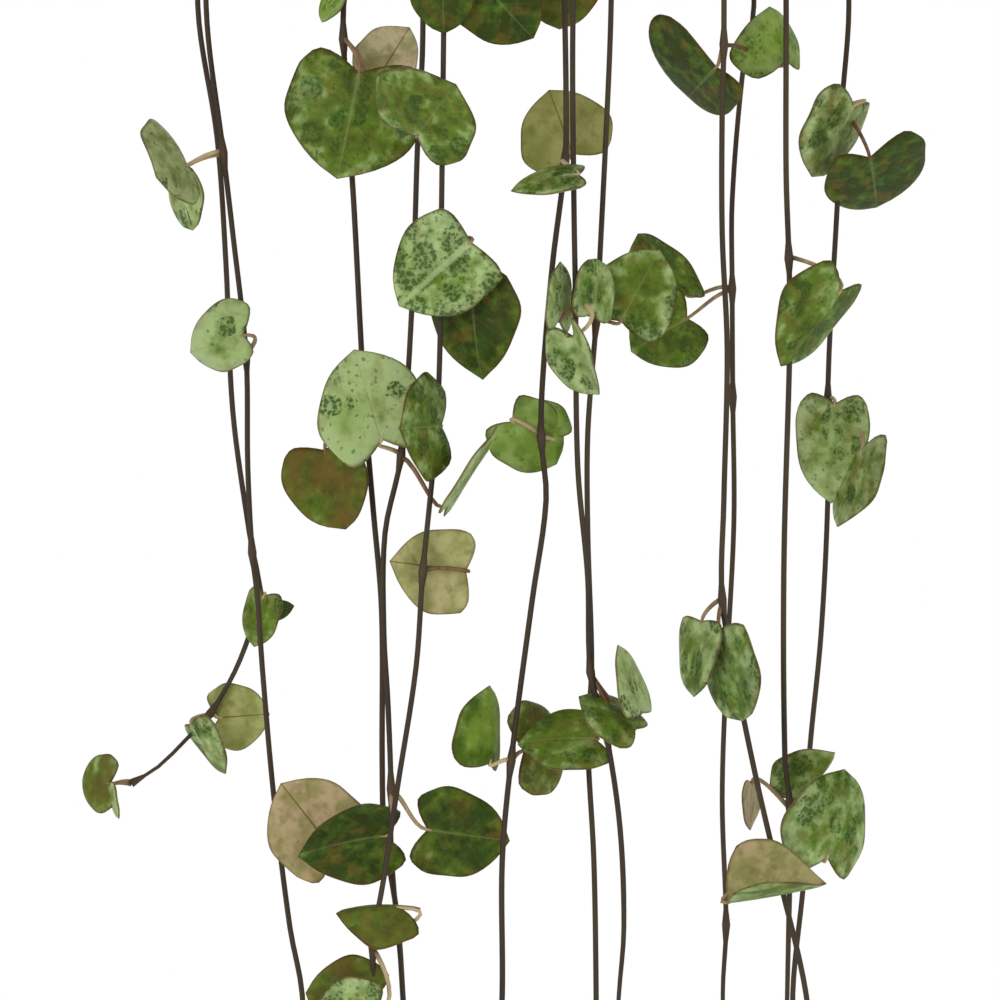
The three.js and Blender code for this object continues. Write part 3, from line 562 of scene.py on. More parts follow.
            leaf(54.2, 154.2, 57.8, 138.8, 0, 44, 6, "light", fold=-2, wide=1.05, point=0.6, curl=6,
                dark=0.42, spots=0.3, behind=3),
            leaf(40.8, 140.9, 39.5, 149.2, 0, 108, -2, "pink", lobe=0.05, stalk=0.6)),
        bend(47.2, 179),
    ], [[20, 60]]),
    strand("strand_12", 58.3, 25.5, 25.5, [[32, 40], [68, -40]], [
        bend(58.3, 1),
        node(57, 19.5,
            leaf(59, 19.2, 52.2, 32, 0, -57, 6, "grey", fold=-2, bow=3, lobe=0.14, point=0.5, curl=6,
                dark=0.34, spots=0.4, stalk=0.1),
            leaf(61.8, 28.6, 64.2, 38.8, -52, -8, 8, "dark", wide=0.92, skew=-0.1, dark=1, stalk=0.9)),
        bend(56.2, 37), bend(54.9, 60),
        node(54.5, 72,
            leaf(55.7, 72.7, 53.4, 90, 8, 28, 4, "grey", wide=0.66, lobe=0.1, dark=0.24, spots=0.3,
                young=0.15, behind=2),
            leaf(60.3, 81, 55.2, 94.2, 0, 68, 9, "grey", lobe=0.28, fold=0, curl=8, dark=0.34,
                spots=0.15)),
        bend(54.5, 90), bend(53.3, 114), bend(51.1, 137), bend(50.2, 158), bend(48.2, 179),
    ], [[22, -30], [46, 60]]),
]

# name, bearing round the pot, and the leaves beside it
shortStrands = [
    ["strand_13", 92, [[26, 30], [58, -35], [84, 20]]],
    ["strand_14", 122, [[34, -30], [66, 35]]],
    ["strand_15", 139, [[28, 25], [60, -30], [90, 30]]],
    ["strand_16", 180, [[40, -35], [72, 30]]],
    ["strand_17", 3, [[24, -35], [54, 40], [80, -20]]],
    ["strand_18", 71, [[38, 30], [74, -35]]],
]


def overRim(name, angle, seed):
    # out of the soil and over the rim, as shares of the rim's ring and heights; some have a leaf
    # over the soil
    root = habit["roots"][seed % 2]
    crest = pot["top"] + habit["crest"]
    profile = [
        (root, soilTop - 8),
        (root, soilTop + 4),
        (root + 0.07, soilTop + 10),
        (0.78, crest + 1),
        (0.945, crest + 0.1),
        (0.985, crest - 0.4),
        (1, crest - 2.4),
        (1, pot["top"] - 12),
    ]
    out = Vector((math.cos(angle), math.sin(angle), 0))
    route = [point(out * (part * habit["ring"]) + upward * z) for part, z in profile]
    if name in habit["crowned"]:
        route[2]["leaves"].append(crownLeaf(angle, seed))
    return route


def planSpread(depth):
    # a strand further back is spread a little wider
    return (viewer["distance"] + depth) / viewer["plan"]


def seenAt(x, depth, drop):
    spread = planSpread(depth)
    z = footTop - viewer["drop"] - (drop - viewer["drop"]) * spread
    return Vector((viewer["x"] + (x - viewer["x"]) * spread, depth, z))


def seenLeaf(one, depth):
    spread = planSpread(depth)
    offset = Vector((one["offset"].x * spread, one["offset"].y, one["offset"].z * spread))
    return {**one, "length": one["length"] * spread, "offset": offset}


def leavesAt(outward, seed, drop, swing, pair=None):
    # one leaf, or a small pair at the growing tip
    swings = [swing] if pair is None else [swing, swing + pair]
    size = 1.0 if pair is None else habit["tipShare"]
    return [swungLeaf(outward, turn, seed + drop + 9 * n, size) for n, turn in enumerate(swings)]


def layOut(one, seed):
    outward = math.atan2(one["rim"][1], one["rim"][0])
    route = overRim(one["name"], outward, seed)
    rimPoint = route[-1]["at"]
    first = one["points"][0]
    end = seenAt(first["x"], one["depth"], first["drop"])
    for drop, swing in one["beside"]:
        z = pot["top"] - drop
        at = rimPoint.lerp(end, (rimPoint.z - z) / (rimPoint.z - end.z))
        route.append(point(at, leavesAt(outward, seed, drop, swing), True))
    for p in one["points"]:
        leaves = [seenLeaf(each, one["depth"]) for each in p["leaves"]]
        route.append(point(seenAt(p["x"], one["depth"], p["drop"]), leaves, p["swollen"]))
    last = route[-1]["at"]
    for k, (drop, swing) in enumerate(one["tail"]):
        pair = 180 if k + 1 == len(one["tail"]) else None
        sway = share(-habit["sway"], habit["sway"], draw(seed + drop))
        at = last + Vector((sway, sway / 2, -drop))
        route.append(point(at, leavesAt(outward, seed, drop, swing, pair), True))
    return route


def layOutShort(name, angle, beside, seed):
    outward = math.radians(angle)
    route = overRim(name, outward, seed)
    foot = route[-1]["at"]
    for k, (drop, swing) in enumerate(beside):
        pair = -75 if k + 1 == len(beside) else None
        at = Vector((foot.x, foot.y, pot["top"] - drop))
        route.append(point(at, leavesAt(outward, seed, drop, swing, pair), True))
    return route


def smoothPath(points, spacing):
    # a soft curve through the points, sampled at about the spacing
    found = []
    for i in range(len(points) - 1):
        a, b, c, d = (points[min(max(k, 0), len(points) - 1)] for k in range(i - 1, i + 3))
        length = (c - b).length
        first = (c - a).normalized() * length * 0.33  # a third of the way keeps the curve even
        second = (d - b).normalized() * length * 0.33
        count = max(2, round(length / spacing))
        found += [bezier(b, b + first, c - second, c, k / count) for k in range(count)]
    return found + [points[-1].copy()]


def bezier(a, b, c, d, t):
    u = 1 - t
    return a * (u * u * u) + b * (3 * u * u * t) + c * (3 * u * t * t) + d * (t * t * t)


def sweep(bm, points, radii, sides, mark):
    # one ring carried along the points; mark(i) gives the tone of ring i
    toneLayer = bm.verts.layers.float_color["stemTone"]
    ahead, back = points[1:] + points[-1:], points[:1] + points[:-1]
    ways = [(a - b).normalized() for a, b in zip(ahead, back)]
    side = Vector((1, 0, 0)) if abs(ways[0].z) > 0.9 else upward.copy()
    frames = []
    for at, way, radius in zip(points, ways, radii):
        side = (side - way * side.dot(way)).normalized()
        turn = Matrix((side, way.cross(side), way)).transposed()
        size = Matrix.Diagonal((radius * mm,) * 3 + (1,))
        frames.append(Matrix.Translation(at * mm) @ turn.to_4x4() @ size)
    made = bmesh.ops.create_circle(bm, cap_ends=True, radius=1.0, segments=sides, matrix=frames[0])
    ring = made["verts"]
    for v in ring:
        v[toneLayer] = mark(0)
    cap = next(f for f in ring[0].link_faces)
    edges = list(cap.edges)
    for i in range(1, len(frames)):
        grown = bmesh.ops.extrude_edge_only(bm, edges=edges)["geom"]
        ring = [g for g in grown if isinstance(g, bmesh.types.BMVert)]
        edges = [g for g in grown if isinstance(g, bmesh.types.BMEdge)]
        bmesh.ops.transform(bm, matrix=frames[i] @ frames[i - 1].inverted(), verts=ring)
        for v in ring:
            v[toneLayer] = mark(i)
    bmesh.ops.contextual_create(bm, geom=edges)


# the shape of a blade one unit long from notch to tip; a leaf's own values replace these
bladeForm = {
    "rows": 14,
    "columns": 16,
    "thickness": 0.55,  # mm
    "half": 0.635,
    "shoulder": 0.25,
    "lobe": 0.21,
    "lobePeak": 0.7,
    "wide": 1.0,
    "flank": 2.2,
    "point": 0.7,
    "fold": 8.0,
    "foldSpread": (0.3, 1.5),
    "ribRound": 0.03,
    "dish": 0.3,
    "curl": 18.0,
    "curlSpread": (0.5, 1.5),
    "wave": 0.022,
    "uneven": 0.035,
    "cusp": 0.025,
    "skew": 0.0,
    "shear": 0.0,
    "taper": 0.0,
    "thinRim": 0.08,
    "toneSpread": 0.06,
}
# how dark, bronze, spotted and young the upper face is, then how green and pink the underside
toneMarks = {
    "pale": (0.04, 0.0, 1.0, 0.1, 0.2, 0.3),
    "light": (0.24, 0.0, 0.6, 0.1, 0.2, 0.2),
    "mid": (0.5, 0.12, 0.45, 0.1, 0.3, 0.3),
    "dark": (0.88, 0.15, 0.4, 0.0, 0.4, 0.4),
    "fresh": (0.5, 0.0, 0.1, 0.75, 0.5, 0.0),
    "lime": (0.25, 0.0, 0.3, 0.8, 0.4, 0.0),
    "grey": (0.24, 0.1, 0.5, 0.0, 0.3, 0.3),
    "bronze": (0.8, 0.75, 0.2, 0.0, 0.8, 0.5),
    "olive": (0.6, 0.5, 0.15, 0.1, 0.5, 0.4),
    "beige": (0.5, 0.0, 0.1, 0.0, 0.05, 0.75),
    "fawn": (0.5, 0.0, 0.15, 0.0, 0.2, 0.1),
    "pink": (0.4, 0.2, 0.9, 0.0, 0.2, 0.7),
    "oliveUnder": (0.6, 0.1, 0.0, 0.1, 0.75, 0.15),
}


def halfWidth(t, form):
    # half the blade's width at a share of the way from the notch to the tip
    shoulder = form["shoulder"]
    if t < shoulder:
        return form["half"] * (1 - 0.1 * (1 - t / shoulder) ** 2)
    narrowing = ((t - shoulder) / (1 - shoulder)) ** form["flank"]
    return form["half"] * max(0.0, 1 - narrowing) ** form["point"]


def lobeLine(a, peak):
    # how far the base stands back from the notch, from the rib out to the side
    if a < peak:
        return math.sin(math.pi / 2 * a / peak)
    return math.cos(math.pi / 2 * (a - peak) / (1 - peak))


def flatHeart(bm, form, phase):
    # the blade laid flat, one unit long, with each point's place kept in its map
    mapLayer = bm.verts.layers.float_vector["leafMap"]
    grid = {"x_segments": form["rows"], "y_segments": form["columns"], "size": 1.0}
    flat = bmesh.ops.create_grid(bm, **grid)["verts"]
    for v in flat:
        gx = math.sin(v.co.x * 1.3) / math.sin(1.3)  # closer rows towards the margin
        t = (v.co.y + 1) / 2
        a = abs(gx)
        right = gx > 0
        half = halfWidth(t, form)
        across = gx * half * form["wide"] * (1 + form["skew"] * (1 if right else -1))
        across *= 1 + form["uneven"] * math.sin(phase + 9 * t + (2 if right else 0))
        along = t - form["lobe"] * lobeLine(a, form["lobePeak"]) * (1 - t) ** 2.2
        along += (form["shear"] * across + form["taper"] * abs(across)) * (1 - t)
        along += form["cusp"] if t > 0.999 else 0
        inset = min((1 - a) * half, t) if t < 0.3 else (1 - a) * half
        v[mapLayer] = Vector((across, along, inset))
        v.co = Vector((across, along, 0))
    bmesh.ops.remove_doubles(bm, verts=flat, dist=1e-4)
    return [v for v in flat if v.is_valid]


def growBlade(bm, base, one, seed):
    form = {**bladeForm, **{k: one[k] for k in bladeForm if k in one}}
    toneLayer = bm.verts.layers.float_color["leafTone"]
    mapLayer = bm.verts.layers.float_vector["leafMap"]
    youngLayer = bm.verts.layers.float["leafYoung"]
    chance = random.Random(seed)
    fold = math.radians(form["fold"])
    fold *= 1 if "fold" in one else chance.uniform(*form["foldSpread"])
    curl = math.radians(form["curl"])
    curl *= 1 if "curl" in one else chance.uniform(*form["curlSpread"])
    curl += 1e-4  # never flat, because it divides
    phase = chance.uniform(0, 6.28)
    dark, red, spots, young, green, pink = toneMarks[one["tone"]]
    dark = one.get("dark", dark) + chance.uniform(-form["toneSpread"], form["toneSpread"])
    dark = min(1, dark)
    spots, young = one.get("spots", spots), one.get("young", young)

    flat = flatHeart(bm, form, phase)
    faces = list({f for v in flat for f in v.link_faces})
    doubled = bmesh.ops.extrude_face_region(bm, geom=faces, use_keep_orig=True)["geom"]
    beneath = [g for g in doubled if isinstance(g, bmesh.types.BMVert)]

    # both skins bent alike, the lower one a blade's thickness behind
    side = one["rib"].cross(one["face"])
    turned = Matrix((side, one["rib"], one["face"])).transposed()
    ribRound = form["ribRound"]
    for skin, verts in enumerate((flat, beneath)):
        for v in verts:
            v[toneLayer] = (green, pink, spots, 1.0) if skin else (dark, red, spots, 0.0)
            v[youngLayer] = young
            across, along, inset = v[mapLayer]
            ridge = math.sqrt(across * across + ribRound * ribRound) - ribRound
            lift = ridge * math.sin(fold) - form["dish"] * across * across
            ripple = math.sin(phase + 6 * along + (1.3 if across > 0 else 0))
            lift += form["wave"] * ripple * (across / form["half"]) ** 2
            rim = max(0.0, 1 - inset / form["thinRim"]) ** 2
            lift += (0.5 - skin) * form["thickness"] / one["length"] * (1 - 0.6 * rim)
            turn = curl * along
            x = across * math.cos(fold)
            y = math.sin(turn) / curl + lift * math.sin(turn)
            z = (math.cos(turn) - 1) / curl + lift * math.cos(turn)
            v.co = (base + turned @ Vector((x, y, z)) * one["length"]) * mm
    skins = list({f for v in flat + beneath for f in v.link_faces})
    bmesh.ops.recalc_face_normals(bm, faces=skins)


stemForm = {
    "radius": 0.52,
    "knob": 0.86,
    "knobReach": 2.0,
    "tip": 0.62,
    "tipGain": 0.01,
    "sides": 8,
    "spacing": 3.0,
}
# a stalk's radii, where it springs from its node, and how far its curve leaves, rises and arrives
stalkForm = {
    "thick": 0.46,
    "thin": 0.32,
    "sides": 6,
    "steps": 8,
    "top": 0.31,
    "next": 0.47,
    "leave": 0.4,
    "rise": 0.15,
    "arrive": 0.3,
    "into": 0.8,
}


def stalkPath(start, base, one):
    reach = (base - start).length
    leave = start.lerp(base, stalkForm["leave"]) + upward * (reach * stalkForm["rise"])
    arrive = base - one["rib"] * (stalkForm["arrive"] * min(reach, one["length"]))
    aside = Vector((one.get("bow", 0.0), one.get("behind", 0.0), 0))
    curve = start, leave + aside, arrive + aside, base
    steps = stalkForm["steps"]
    end = base + one["rib"] * stalkForm["into"]
    return [bezier(*curve, k / steps) for k in range(steps)] + [base, end]


def stemRings(route, seed):
    # the stem's points with the radius and the tone of each
    path = smoothPath([p["at"] for p in route], stemForm["spacing"])
    knobs = [p["at"] for p in route if p["swollen"]]
    young = draw(seed + 40) * 0.3
    points, radii, marks = [], [], []
    for at in path:
        # the swelling fades over a couple of millimetres each side of a node
        far = min(((at - knob).length for knob in knobs), default=99.0)
        swell = max(0.0, 1 - far / stemForm["knobReach"]) ** 1.5
        end = min(1.0, stemForm["tip"] + stemForm["tipGain"] * (path[-1] - at).length)
        points.append(at)
        radii.append(share(stemForm["radius"], stemForm["knob"], swell) * end)
        marks.append((0.0, young, min(1.0, swell * 1.3), 1.0))
    for knob in knobs:  # a ring right at each node, so that none is cut short
        nearest = min(range(len(points)), key=lambda i: (points[i] - knob).length)
        radii[nearest] = stemForm["knob"]
    return points, radii, marks


def growStrand(name, route, seed):
    bm = bmesh.new()
    bm.verts.layers.float_color.new("stemTone")
    points, radii, marks = stemRings(route, seed)
    sweep(bm, points, radii, stemForm["sides"], lambda i: marks[i])
    blades = bmesh.new()
    blades.verts.layers.float_color.new("leafTone")
    blades.verts.layers.float_vector.new("leafMap")
    blades.verts.layers.float.new("leafYoung")
    thick, thin = stalkForm["thick"], stalkForm["thin"]
    count = 0
    for p in route:
        for k, one in enumerate(p["leaves"]):
            start = p["at"] + upward * (stalkForm["top"] - stalkForm["next"] * k)
            base = p["at"] + one["offset"]
            stalk = stalkPath(start, base, one)
            tapered = [share(thick, thin, i / (len(stalk) - 1)) for i in range(len(stalk))]
            hue = one.get("stalk", draw(seed + count) * 0.8)
            mark = lambda i, hue=hue: (min(1.0, i / 2), hue, 0.0, 1.0)
            sweep(bm, stalk, tapered, stalkForm["sides"], mark)
            growBlade(blades, base, one, seed * 100 + count)
            count += 1
    stem = finished(name + "_stem", bm, stemBark)
    leaves = finished(name + "_leaves", blades, leafSkin)
    for piece in (stem, leaves):
        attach(piece, "root")
        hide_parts(name)


def finished(name, bm, material, smooth=True):
    mesh = bpy.data.meshes.new(name)
    bm.to_mesh(mesh)
    bm.free()
    mesh.materials.append(material)
    if smooth:
        mesh.shade_smooth()
    made = bpy.data.objects.new(name, mesh)
    bpy.context.scene.collection.objects.link(made)
    return made


stemBark = stemMaterial()
leafSkin = leafMaterial()
for seed, one in enumerate(strands, 1):
    growStrand(one["name"], layOut(one, seed), seed)
for seed, (name, angle, beside) in enumerate(shortStrands, 21):  # seeds of their own
    growStrand(name, layOutShort(name, angle, beside, seed), seed)
print("strands grown")

wire = {"radius": 0.9, "bearings": (105, 225, 345), "sides": 12}
rimHole = {"radius": 2.0, "below": 7.0}
drain = {"radius": 3.0, "ring": 24.0, "count": 4}


def wallRadius(z):
    return share(pot["foot"], pot["rim"] - pot["lip"], (z - potBottom) / pot["height"])


def turned(profile, steps=pot["sides"], corner=0.0):
    # a profile of radii and heights spun about the pot's axis, with its sharp edges rounded
    bm = bmesh.new()
    points = [bm.verts.new((r * mm, 0, z * mm)) for r, z in profile]
    edges = [bm.edges.new(pair) for pair in zip(points, points[1:])]
    full = {"cent": (0, 0, 0), "axis": (0, 0, 1), "angle": 2 * math.pi, "use_merge": True}
    bmesh.ops.spin(bm, geom=points + edges, steps=steps, **full)
    bmesh.ops.remove_doubles(bm, verts=bm.verts, dist=1e-6)
    bmesh.ops.recalc_face_normals(bm, faces=bm.faces)
    if corner:
        bent = [e for e in bm.edges if e.is_manifold and e.calc_face_angle() > crease]
        sharp = [e for e in bent if e.verts[0].co.xy.length > 1e-4]
        rounding = {"segments": 3, "profile": 0.5, "affect": "EDGES", "material": -1}
        bmesh.ops.bevel(bm, geom=sharp, offset=corner * mm, clamp_overlap=True, **rounding)
    return bm


def drilled(made, holes):
    # the piece with round holes: each a place, an axis, a radius and a depth
    cutters = []
    for place, axis, radius, depth in holes:
        bm = bmesh.new()
        turn = Vector(axis).to_track_quat("Z", "Y").to_matrix().to_4x4()
        there = Matrix.Translation(Vector(place) * mm) @ turn
        size = {"segments": 32, "radius1": radius * mm, "radius2": radius * mm}
        bmesh.ops.create_cone(bm, cap_ends=True, depth=depth * mm, matrix=there, **size)
        cutter = finished("cutter", bm, made.data.materials[0], smooth=False)
        cut = made.modifiers.new("hole", "BOOLEAN")
        cut.operation = "DIFFERENCE"
        cut.solver = "EXACT"
        cut.object = cutter
        cutters.append(cutter)
    seen = made.evaluated_get(bpy.context.evaluated_depsgraph_get())
    mesh = bpy.data.meshes.new_from_object(seen)
    made.modifiers.clear()
    made.data = mesh
    for cutter in cutters:
        bpy.data.objects.remove(cutter)


def standIn(made, node):
    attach(made, "root")
    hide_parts(node)


def bearing(angle, radius, z):
    turn = math.radians(angle)
    return Vector((radius * math.cos(turn), radius * math.sin(turn), z))


potPaint = {"clay": (168, 100, 70), "dust": (190, 128, 96), "worn": (142, 78, 54)}


def potMaterial():
    made, shader, s = newMaterial("clay_coloured_plastic", specular=0.4)
    here = s.here()
    cloud = s.noise(here, 38.0, 5.0)
    grain = s.noise(here, 1500.0, 3.0)
    streak = s.noise(s.stretched(here, 0.06), 240.0)
    base = ((cloud - 0.42) * 1.6).clamped().tint(potPaint["clay"], potPaint["dust"])
    base = ((streak - 0.55) * 1.2).clamped().tint(base, potPaint["worn"])
    relief = grain.bump(0.25, 0.0002)
    feed(shader, {"Base Color": base, "Roughness": 0.42 + cloud * 0.2, "Normal": relief})
    return made


def growPot():
    band = pot["top"] - pot["band"]
    profile = [
        (0, potBottom),
        (pot["foot"] - 1, potBottom),
        (pot["foot"], potBottom + 1),
        (wallRadius(band - 2), band - 2),
        (pot["rim"], band),
        (pot["rim"], pot["top"] - 0.8),
        (pot["rim"] - 0.8, pot["top"]),
        (pot["rim"] - pot["wall"], pot["top"]),
        (pot["rim"] - pot["wall"], band + 1),
        (wallRadius(band - 2) - pot["wall"], band - 3),
        (pot["foot"] - pot["wall"], potBottom + pot["wall"]),
        (0, potBottom + pot["wall"]),
    ]
    shell = turned(profile, corner=pot["corner"])
    made = finished("pot_shell", shell, potMaterial(), smooth=False)
    holes = []
    for angle in wire["bearings"]:
        at = bearing(angle, pot["rim"], pot["top"] - rimHole["below"])
        holes.append((at, bearing(angle, 1, 0), rimHole["radius"], 12))
    for i in range(drain["count"]):
        angle = 360 * (i + 0.5) / drain["count"]
        holes.append((bearing(angle, drain["ring"], potBottom), (0, 0, 1), drain["radius"], 10))
    drilled(made, holes)
    sharpen(made.data)
    standIn(made, "pot")


def sharpen(mesh):
    # smooth, but crisp where faces meet at more than the crease
    mesh.shade_smooth()
    bm = bmesh.new()
    bm.from_mesh(mesh)
    for edge in bm.edges:
        edge.smooth = not edge.is_manifold or edge.calc_face_angle() < crease
    bm.to_mesh(mesh)
    bm.free()


soilPaint = {
    "peat": (38, 27, 20),
    "crumb": (66, 48, 34),
    "bark": (92, 64, 42),
    "perlite": (206, 202, 190),
}
soilForm = {
    "gap": 0.6,
    "footGap": 0.3,
    "dome": 3,
    "rings": 30,
    "sides": 120,
    "crumbs": 900,
    "small": 0.5,
    "large": 1.5,
    "perlite": 0.06,
    "seed": 31,
}
soilEdge = pot["rim"] - pot["wall"] - soilForm["gap"]


def soilMaterial():
    made, shader, s = newMaterial("potting_soil", specular=0.2)
    here = s.here()
    barky, white = s.attribute("crumb").channels()[:2]
    clod = s.noise(here, 420.0, 6.0)
    grit = s.node("ShaderNodeTexVoronoi", {}, {"Vector": here, "Scale": 900.0}, output="Distance")
    base = clod.between(0.35, 0.65).tint(soilPaint["peat"], soilPaint["crumb"])
    base = (barky * clod * 1.6).clamped().tint(base, soilPaint["bark"])
    base = white.tint(base, soilPaint["perlite"])
    relief = (clod - grit * 0.5).bump(0.8, 0.0006)
    feed(shader, {"Base Color": base, "Roughness": 0.85 + clod * 0.12, "Normal": relief})
    return made


def soilHeight(x, y):
    radius = math.hypot(x, y)
    crown = share(soilTop + soilForm["dome"], soilTop, min(1.0, (radius / soilEdge)) ** 2)
    swell = noise.noise(Vector((x, y, 3.0)) * 0.09) * 0.9
    bumps = swell + noise.noise(Vector((x, y, 9.0)) * 0.35) * 0.5
    return crown + bumps * min(1.0, (soilEdge - radius) / 6 + 0.2)


def growSoil():
    chance = random.Random(soilForm["seed"])
    band = pot["top"] - pot["band"]
    foot = potBottom + pot["wall"] + soilForm["footGap"]
    profile = [
        (0, foot),
        (pot["foot"] - pot["wall"] - soilForm["gap"], foot),
        (wallRadius(band - 2) - pot["wall"] - soilForm["gap"], band - 3),
        (soilEdge, band + 1.3),
    ]
    rings = soilForm["rings"]
    profile += [(soilEdge * (1 - k / rings), soilTop) for k in range(rings + 1)]
    bm = turned(profile, steps=soilForm["sides"])
    layer = bm.verts.layers.float_color.new("crumb")
    for v in bm.verts:
        x, y, z = v.co / mm
        if abs(z - soilTop) < 0.01:
            v.co.z = soilHeight(x, y) * mm
        v[layer] = (0.0, 0.0, 0.0, 1.0)
    for k in range(soilForm["crumbs"]):
        angle = chance.uniform(0, 2 * math.pi)
        radius = (soilEdge - 2) * math.sqrt(chance.random())
        x, y = radius * math.cos(angle), radius * math.sin(angle)
        size = share(soilForm["small"], soilForm["large"], chance.random() ** 2)
        white = chance.random() < soilForm["perlite"]
        spin = chance.uniform(0, 6.28)
        axis = Vector([chance.gauss(0, 1) for _ in range(3)]).normalized()
        shape = Matrix.Diagonal([size * mm * chance.uniform(0.6, 1.2) for _ in range(3)] + [1])
        at = Matrix.Translation(Vector((x, y, soilHeight(x, y) + size * 0.3)) * mm)
        matrix = at @ Matrix.Rotation(spin, 4, axis) @ shape
        crumb = bmesh.ops.create_icosphere(bm, subdivisions=1, radius=1.0, matrix=matrix)["verts"]
        barky = chance.random()
        for v in crumb:
            v[layer] = (barky, float(white), 0.0, 1.0)
    standIn(finished("soil_fill", bm, soilMaterial()), "soil")


# name, x, y, radius and height
tubers = [
    ("tuber_1", 9, -7, 8.5, 6),
    ("tuber_2", -11, 8, 7, 5),
    ("tuber_3", 8, 12, 6, 4.5),
]
tuberForm = {"flat": 0.86, "lump": 0.06, "grain": 0.02, "dent": 0.1, "dentReach": 0.35}
tuberPaint = {"skin": (126, 104, 78), "pale": (164, 142, 108), "crack": (84, 66, 48)}


def tuberMaterial():
    made, shader, s = newMaterial("corky_tuber", specular=0.25)
    here = s.here()
    patch = s.noise(here, 160.0, 5.0)
    cracks = {"feature": "DISTANCE_TO_EDGE"}
    crack = s.node("ShaderNodeTexVoronoi", cracks, {"Vector": here, "Scale": 300.0})
    base = patch.between(0.35, 0.65).tint(tuberPaint["skin"], tuberPaint["pale"])
    base = (1 - crack.between(0.0, 0.08)).tint(base, tuberPaint["crack"])
    relief = (patch + crack).bump(0.6, 0.0004)
    feed(shader, {"Base Color": base, "Roughness": 0.75 + patch * 0.15, "Normal": relief})
    return made


def growTubers():
    skin = tuberMaterial()
    for k, (name, x, y, radius, height) in enumerate(tubers):
        bm = bmesh.new()
        bmesh.ops.create_icosphere(bm, subdivisions=4, radius=1.0)
        for v in bm.verts:
            lump = tuberForm["lump"] * noise.noise(v.co * 1.7 + Vector((k * 7, 0, 0)))
            lump += tuberForm["grain"] * noise.noise(v.co * 6)
            hollow = max(0.0, 1 - v.co.xy.length / tuberForm["dentReach"])
            dent = tuberForm["dent"] * hollow if v.co.z > 0 else 0.0
            v.co *= 0.95 + lump
            v.co.z -= dent
        size = (radius * mm, radius * tuberForm["flat"] * mm, height * mm)
        bmesh.ops.scale(bm, verts=bm.verts, vec=size)
        at = Vector((x, y, soilTop + soilForm["dome"])) * mm
        bmesh.ops.translate(bm, verts=bm.verts, vec=at)
        standIn(finished(name + "_body", bm, skin), name)


# the hook's bar bends round from its start angle to its end angle
hook = {"bore": 9.9, "rod": 1.6, "neck": -33.4, "start": -62, "end": 203, "step": 22, "sides": 24}
sleeve = {"radius": 5, "height": 14, "slope": 0.8, "corner": 0.25, "sides": 48}
seat = {"radius": 1.2, "pitch": 2.7, "depth": 18.6}  # the sleeve's holes for the wires
steelPaint = {"dark": (168, 170, 172), "bright": (204, 206, 208)}


def steelMaterial():
    made, shader, s = newMaterial("drawn_steel", Metallic=1.0)
    here = s.here()
    lines = s.noise(s.stretched(here, 0.05), 2600.0, 3.0)
    cloud = s.noise(here, 120.0, 4.0)
    base = (lines * 0.6 + cloud * 0.4).tint(steelPaint["dark"], steelPaint["bright"])
    relief = lines.bump(0.15, 0.0001)
    feed(shader, {"Base Color": base, "Roughness": 0.24 + cloud * 0.18, "Normal": relief})
    return made


def growBar(name, node, path, radii, sides, steel):
    bm = bmesh.new()
    bm.verts.layers.float_color.new("stemTone")
    sweep(bm, path, radii, sides, lambda ring: (0, 0, 0, 1))
    standIn(finished(name, bm, steel), node)


def growHook(steel):
    neck, rod = hook["neck"], hook["rod"]
    radius = hook["bore"] + rod
    points = [Vector((0, 0, neck - 2)), Vector((0, 0, neck + 5))]
    for angle in range(hook["start"], hook["end"], hook["step"]):
        turn = math.radians(angle)
        points.append(Vector((radius * math.cos(turn), 0, radius * math.sin(turn) - hook["bore"])))
    path = smoothPath(points, 1.0)
    left = [(path[-1] - at).length for at in path]
    # the end is rounded off over the last rod's radius
    radii = [rod * math.sqrt(max(0.02, 1 - max(0.0, 1 - d / rod) ** 2)) for d in left]
    growBar("hook_bar", "hanger_hook", path, radii, hook["sides"], steel)


def growSleeve(steel):
    neck, radius, slope = hook["neck"], sleeve["radius"], sleeve["slope"]
    foot = neck - sleeve["height"]
    profile = [
        (0, neck),
        (radius - slope, neck),
        (radius, neck - slope),
        (radius, foot + slope),
        (radius - slope, foot),
        (0, foot),
    ]
    bm = turned(profile, steps=sleeve["sides"], corner=sleeve["corner"])
    made = finished("hook_sleeve", bm, steel, smooth=False)
    starts = [bearing(angle, seat["pitch"], foot) for angle in wire["bearings"]]
    drilled(made, [(at, (0, 0, 1), seat["radius"], seat["depth"]) for at in starts])
    sharpen(made.data)
    standIn(made, "hanger_hook")


def growWires(steel):
    outside = pot["rim"] + wire["radius"] + 1
    inside = pot["rim"] - pot["wall"] - wire["radius"] - 1.2
    hole = pot["top"] - rimHole["below"] + rimHole["radius"] - wire["radius"] - 0.3
    profile = [
        (seat["pitch"], hook["neck"] - 6),
        (seat["pitch"], hook["neck"] - 15),
        (seat["pitch"] + 1, hook["neck"] - 18.5),
        (outside - 3.5, pot["top"] + 14),
        (outside - 0.8, pot["top"] + 6),
        (outside, pot["top"] - 1),
        (outside - 0.3, hole + 1.5),
        (outside - 1.6, hole),
        (inside + 1.4, hole),
        (inside + 0.2, hole + 1.2),
        (inside, hole + 3),
        (inside, hole + 9),
    ]
    for i, angle in enumerate(wire["bearings"], 1):
        path = smoothPath([bearing(angle, r, z) for r, z in profile], 1.5)
        radii = [wire["radius"]] * len(path)
        growBar(f"wire_{i}", f"hanger_wire_{i}", path, radii, wire["sides"], steel)


growPot()
growSoil()
growTubers()
steel = steelMaterial()
growHook(steel)
growSleeve(steel)
growWires(steel)
print("pot, soil, tubers and hanger made")

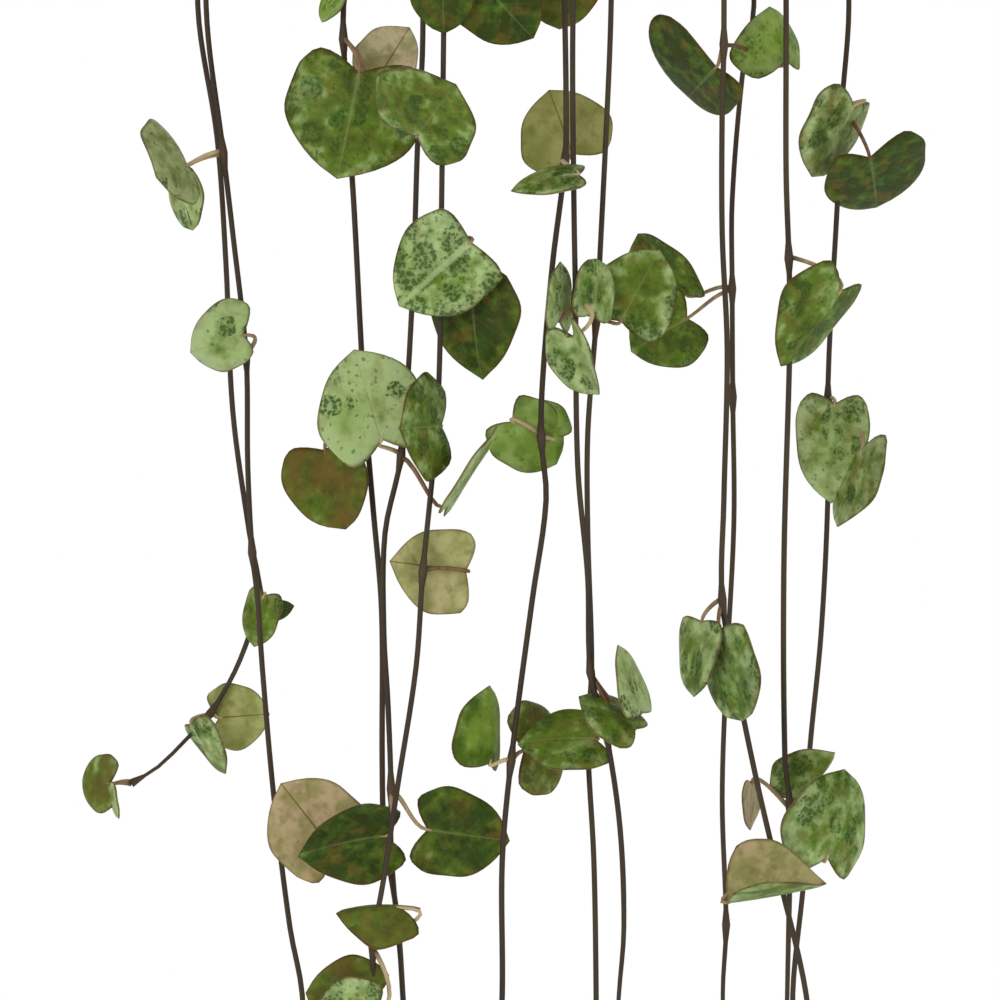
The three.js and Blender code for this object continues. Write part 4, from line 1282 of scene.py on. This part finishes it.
studio = {
    "viewer": Vector((viewer["x"], -viewer["distance"], footTop - viewer["drop"])),
    "lens": 400.0,
    "floor": -1.5,
    "floorRadius": 9.0,
    "floorGlow": 0.22,
    "sky": 0.5,
    "aim": Vector((0, 0, -0.35)),
}
# name, place, size and power
lamps = [
    ("key", (-1.6, -2.6, 0.5), 1.6, 26.5),
    ("fill", (2.0, -1.8, -0.1), 1.8, 9.0),
    ("rim", (0.6, 2.2, 1.0), 1.6, 10.0),
]


def setCamera():
    data = bpy.data.cameras.new("viewer")
    data.lens = studio["lens"]
    data.sensor_width = 36.0
    data.clip_start = 0.1
    data.clip_end = 60.0
    camera = bpy.data.objects.new("viewer", data)
    camera.location = studio["viewer"] * mm
    camera.rotation_euler = (math.pi / 2, 0, 0)
    bpy.context.scene.collection.objects.link(camera)
    bpy.context.scene.camera = camera


def setSky():
    world = bpy.data.worlds.new("studio")
    world.use_nodes = True
    tree = world.node_tree
    tree.nodes.clear()
    s = Socket(tree)
    seen = s.node("ShaderNodeLightPath", output="Is Camera Ray")
    strength = seen * (1.0 - studio["sky"]) + studio["sky"]
    back = s.node("ShaderNodeBackground", {}, {"Color": (1, 1, 1, 1), "Strength": strength})
    out = tree.nodes.new("ShaderNodeOutputWorld")
    tree.links.new(back.out, out.inputs[0])
    bpy.context.scene.world = world


def softLight(name, place, size, power):
    data = bpy.data.lights.new(name, "AREA")
    data.energy = power
    data.size = size
    lamp = bpy.data.objects.new(name, data)
    lamp.location = place
    aim = (studio["aim"] - Vector(place)).to_track_quat("-Z", "Y")
    lamp.rotation_euler = aim.to_euler()
    bpy.context.scene.collection.objects.link(lamp)


def floorMaterial():
    glow = {"Emission Color": (1, 1, 1, 1), "Emission Strength": studio["floorGlow"]}
    made, shader, s = newMaterial("pale_floor", **glow)
    cloud = s.noise(s.here(), 1.2)
    base = cloud.tint((250, 250, 250), (252, 252, 252))
    feed(shader, {"Base Color": base, "Roughness": 0.85 + cloud * 0.05})
    return made


def setFloor():
    bm = bmesh.new()
    bmesh.ops.create_circle(bm, cap_ends=True, radius=studio["floorRadius"], segments=96)
    bmesh.ops.translate(bm, verts=bm.verts, vec=(0, 0, studio["floor"]))
    finished("floor", bm, floorMaterial(), smooth=False)


setCamera()
setSky()
for lamp in lamps:
    softLight(*lamp)
setFloor()
bpy.context.scene.view_settings.view_transform = "Standard"
print("studio set")
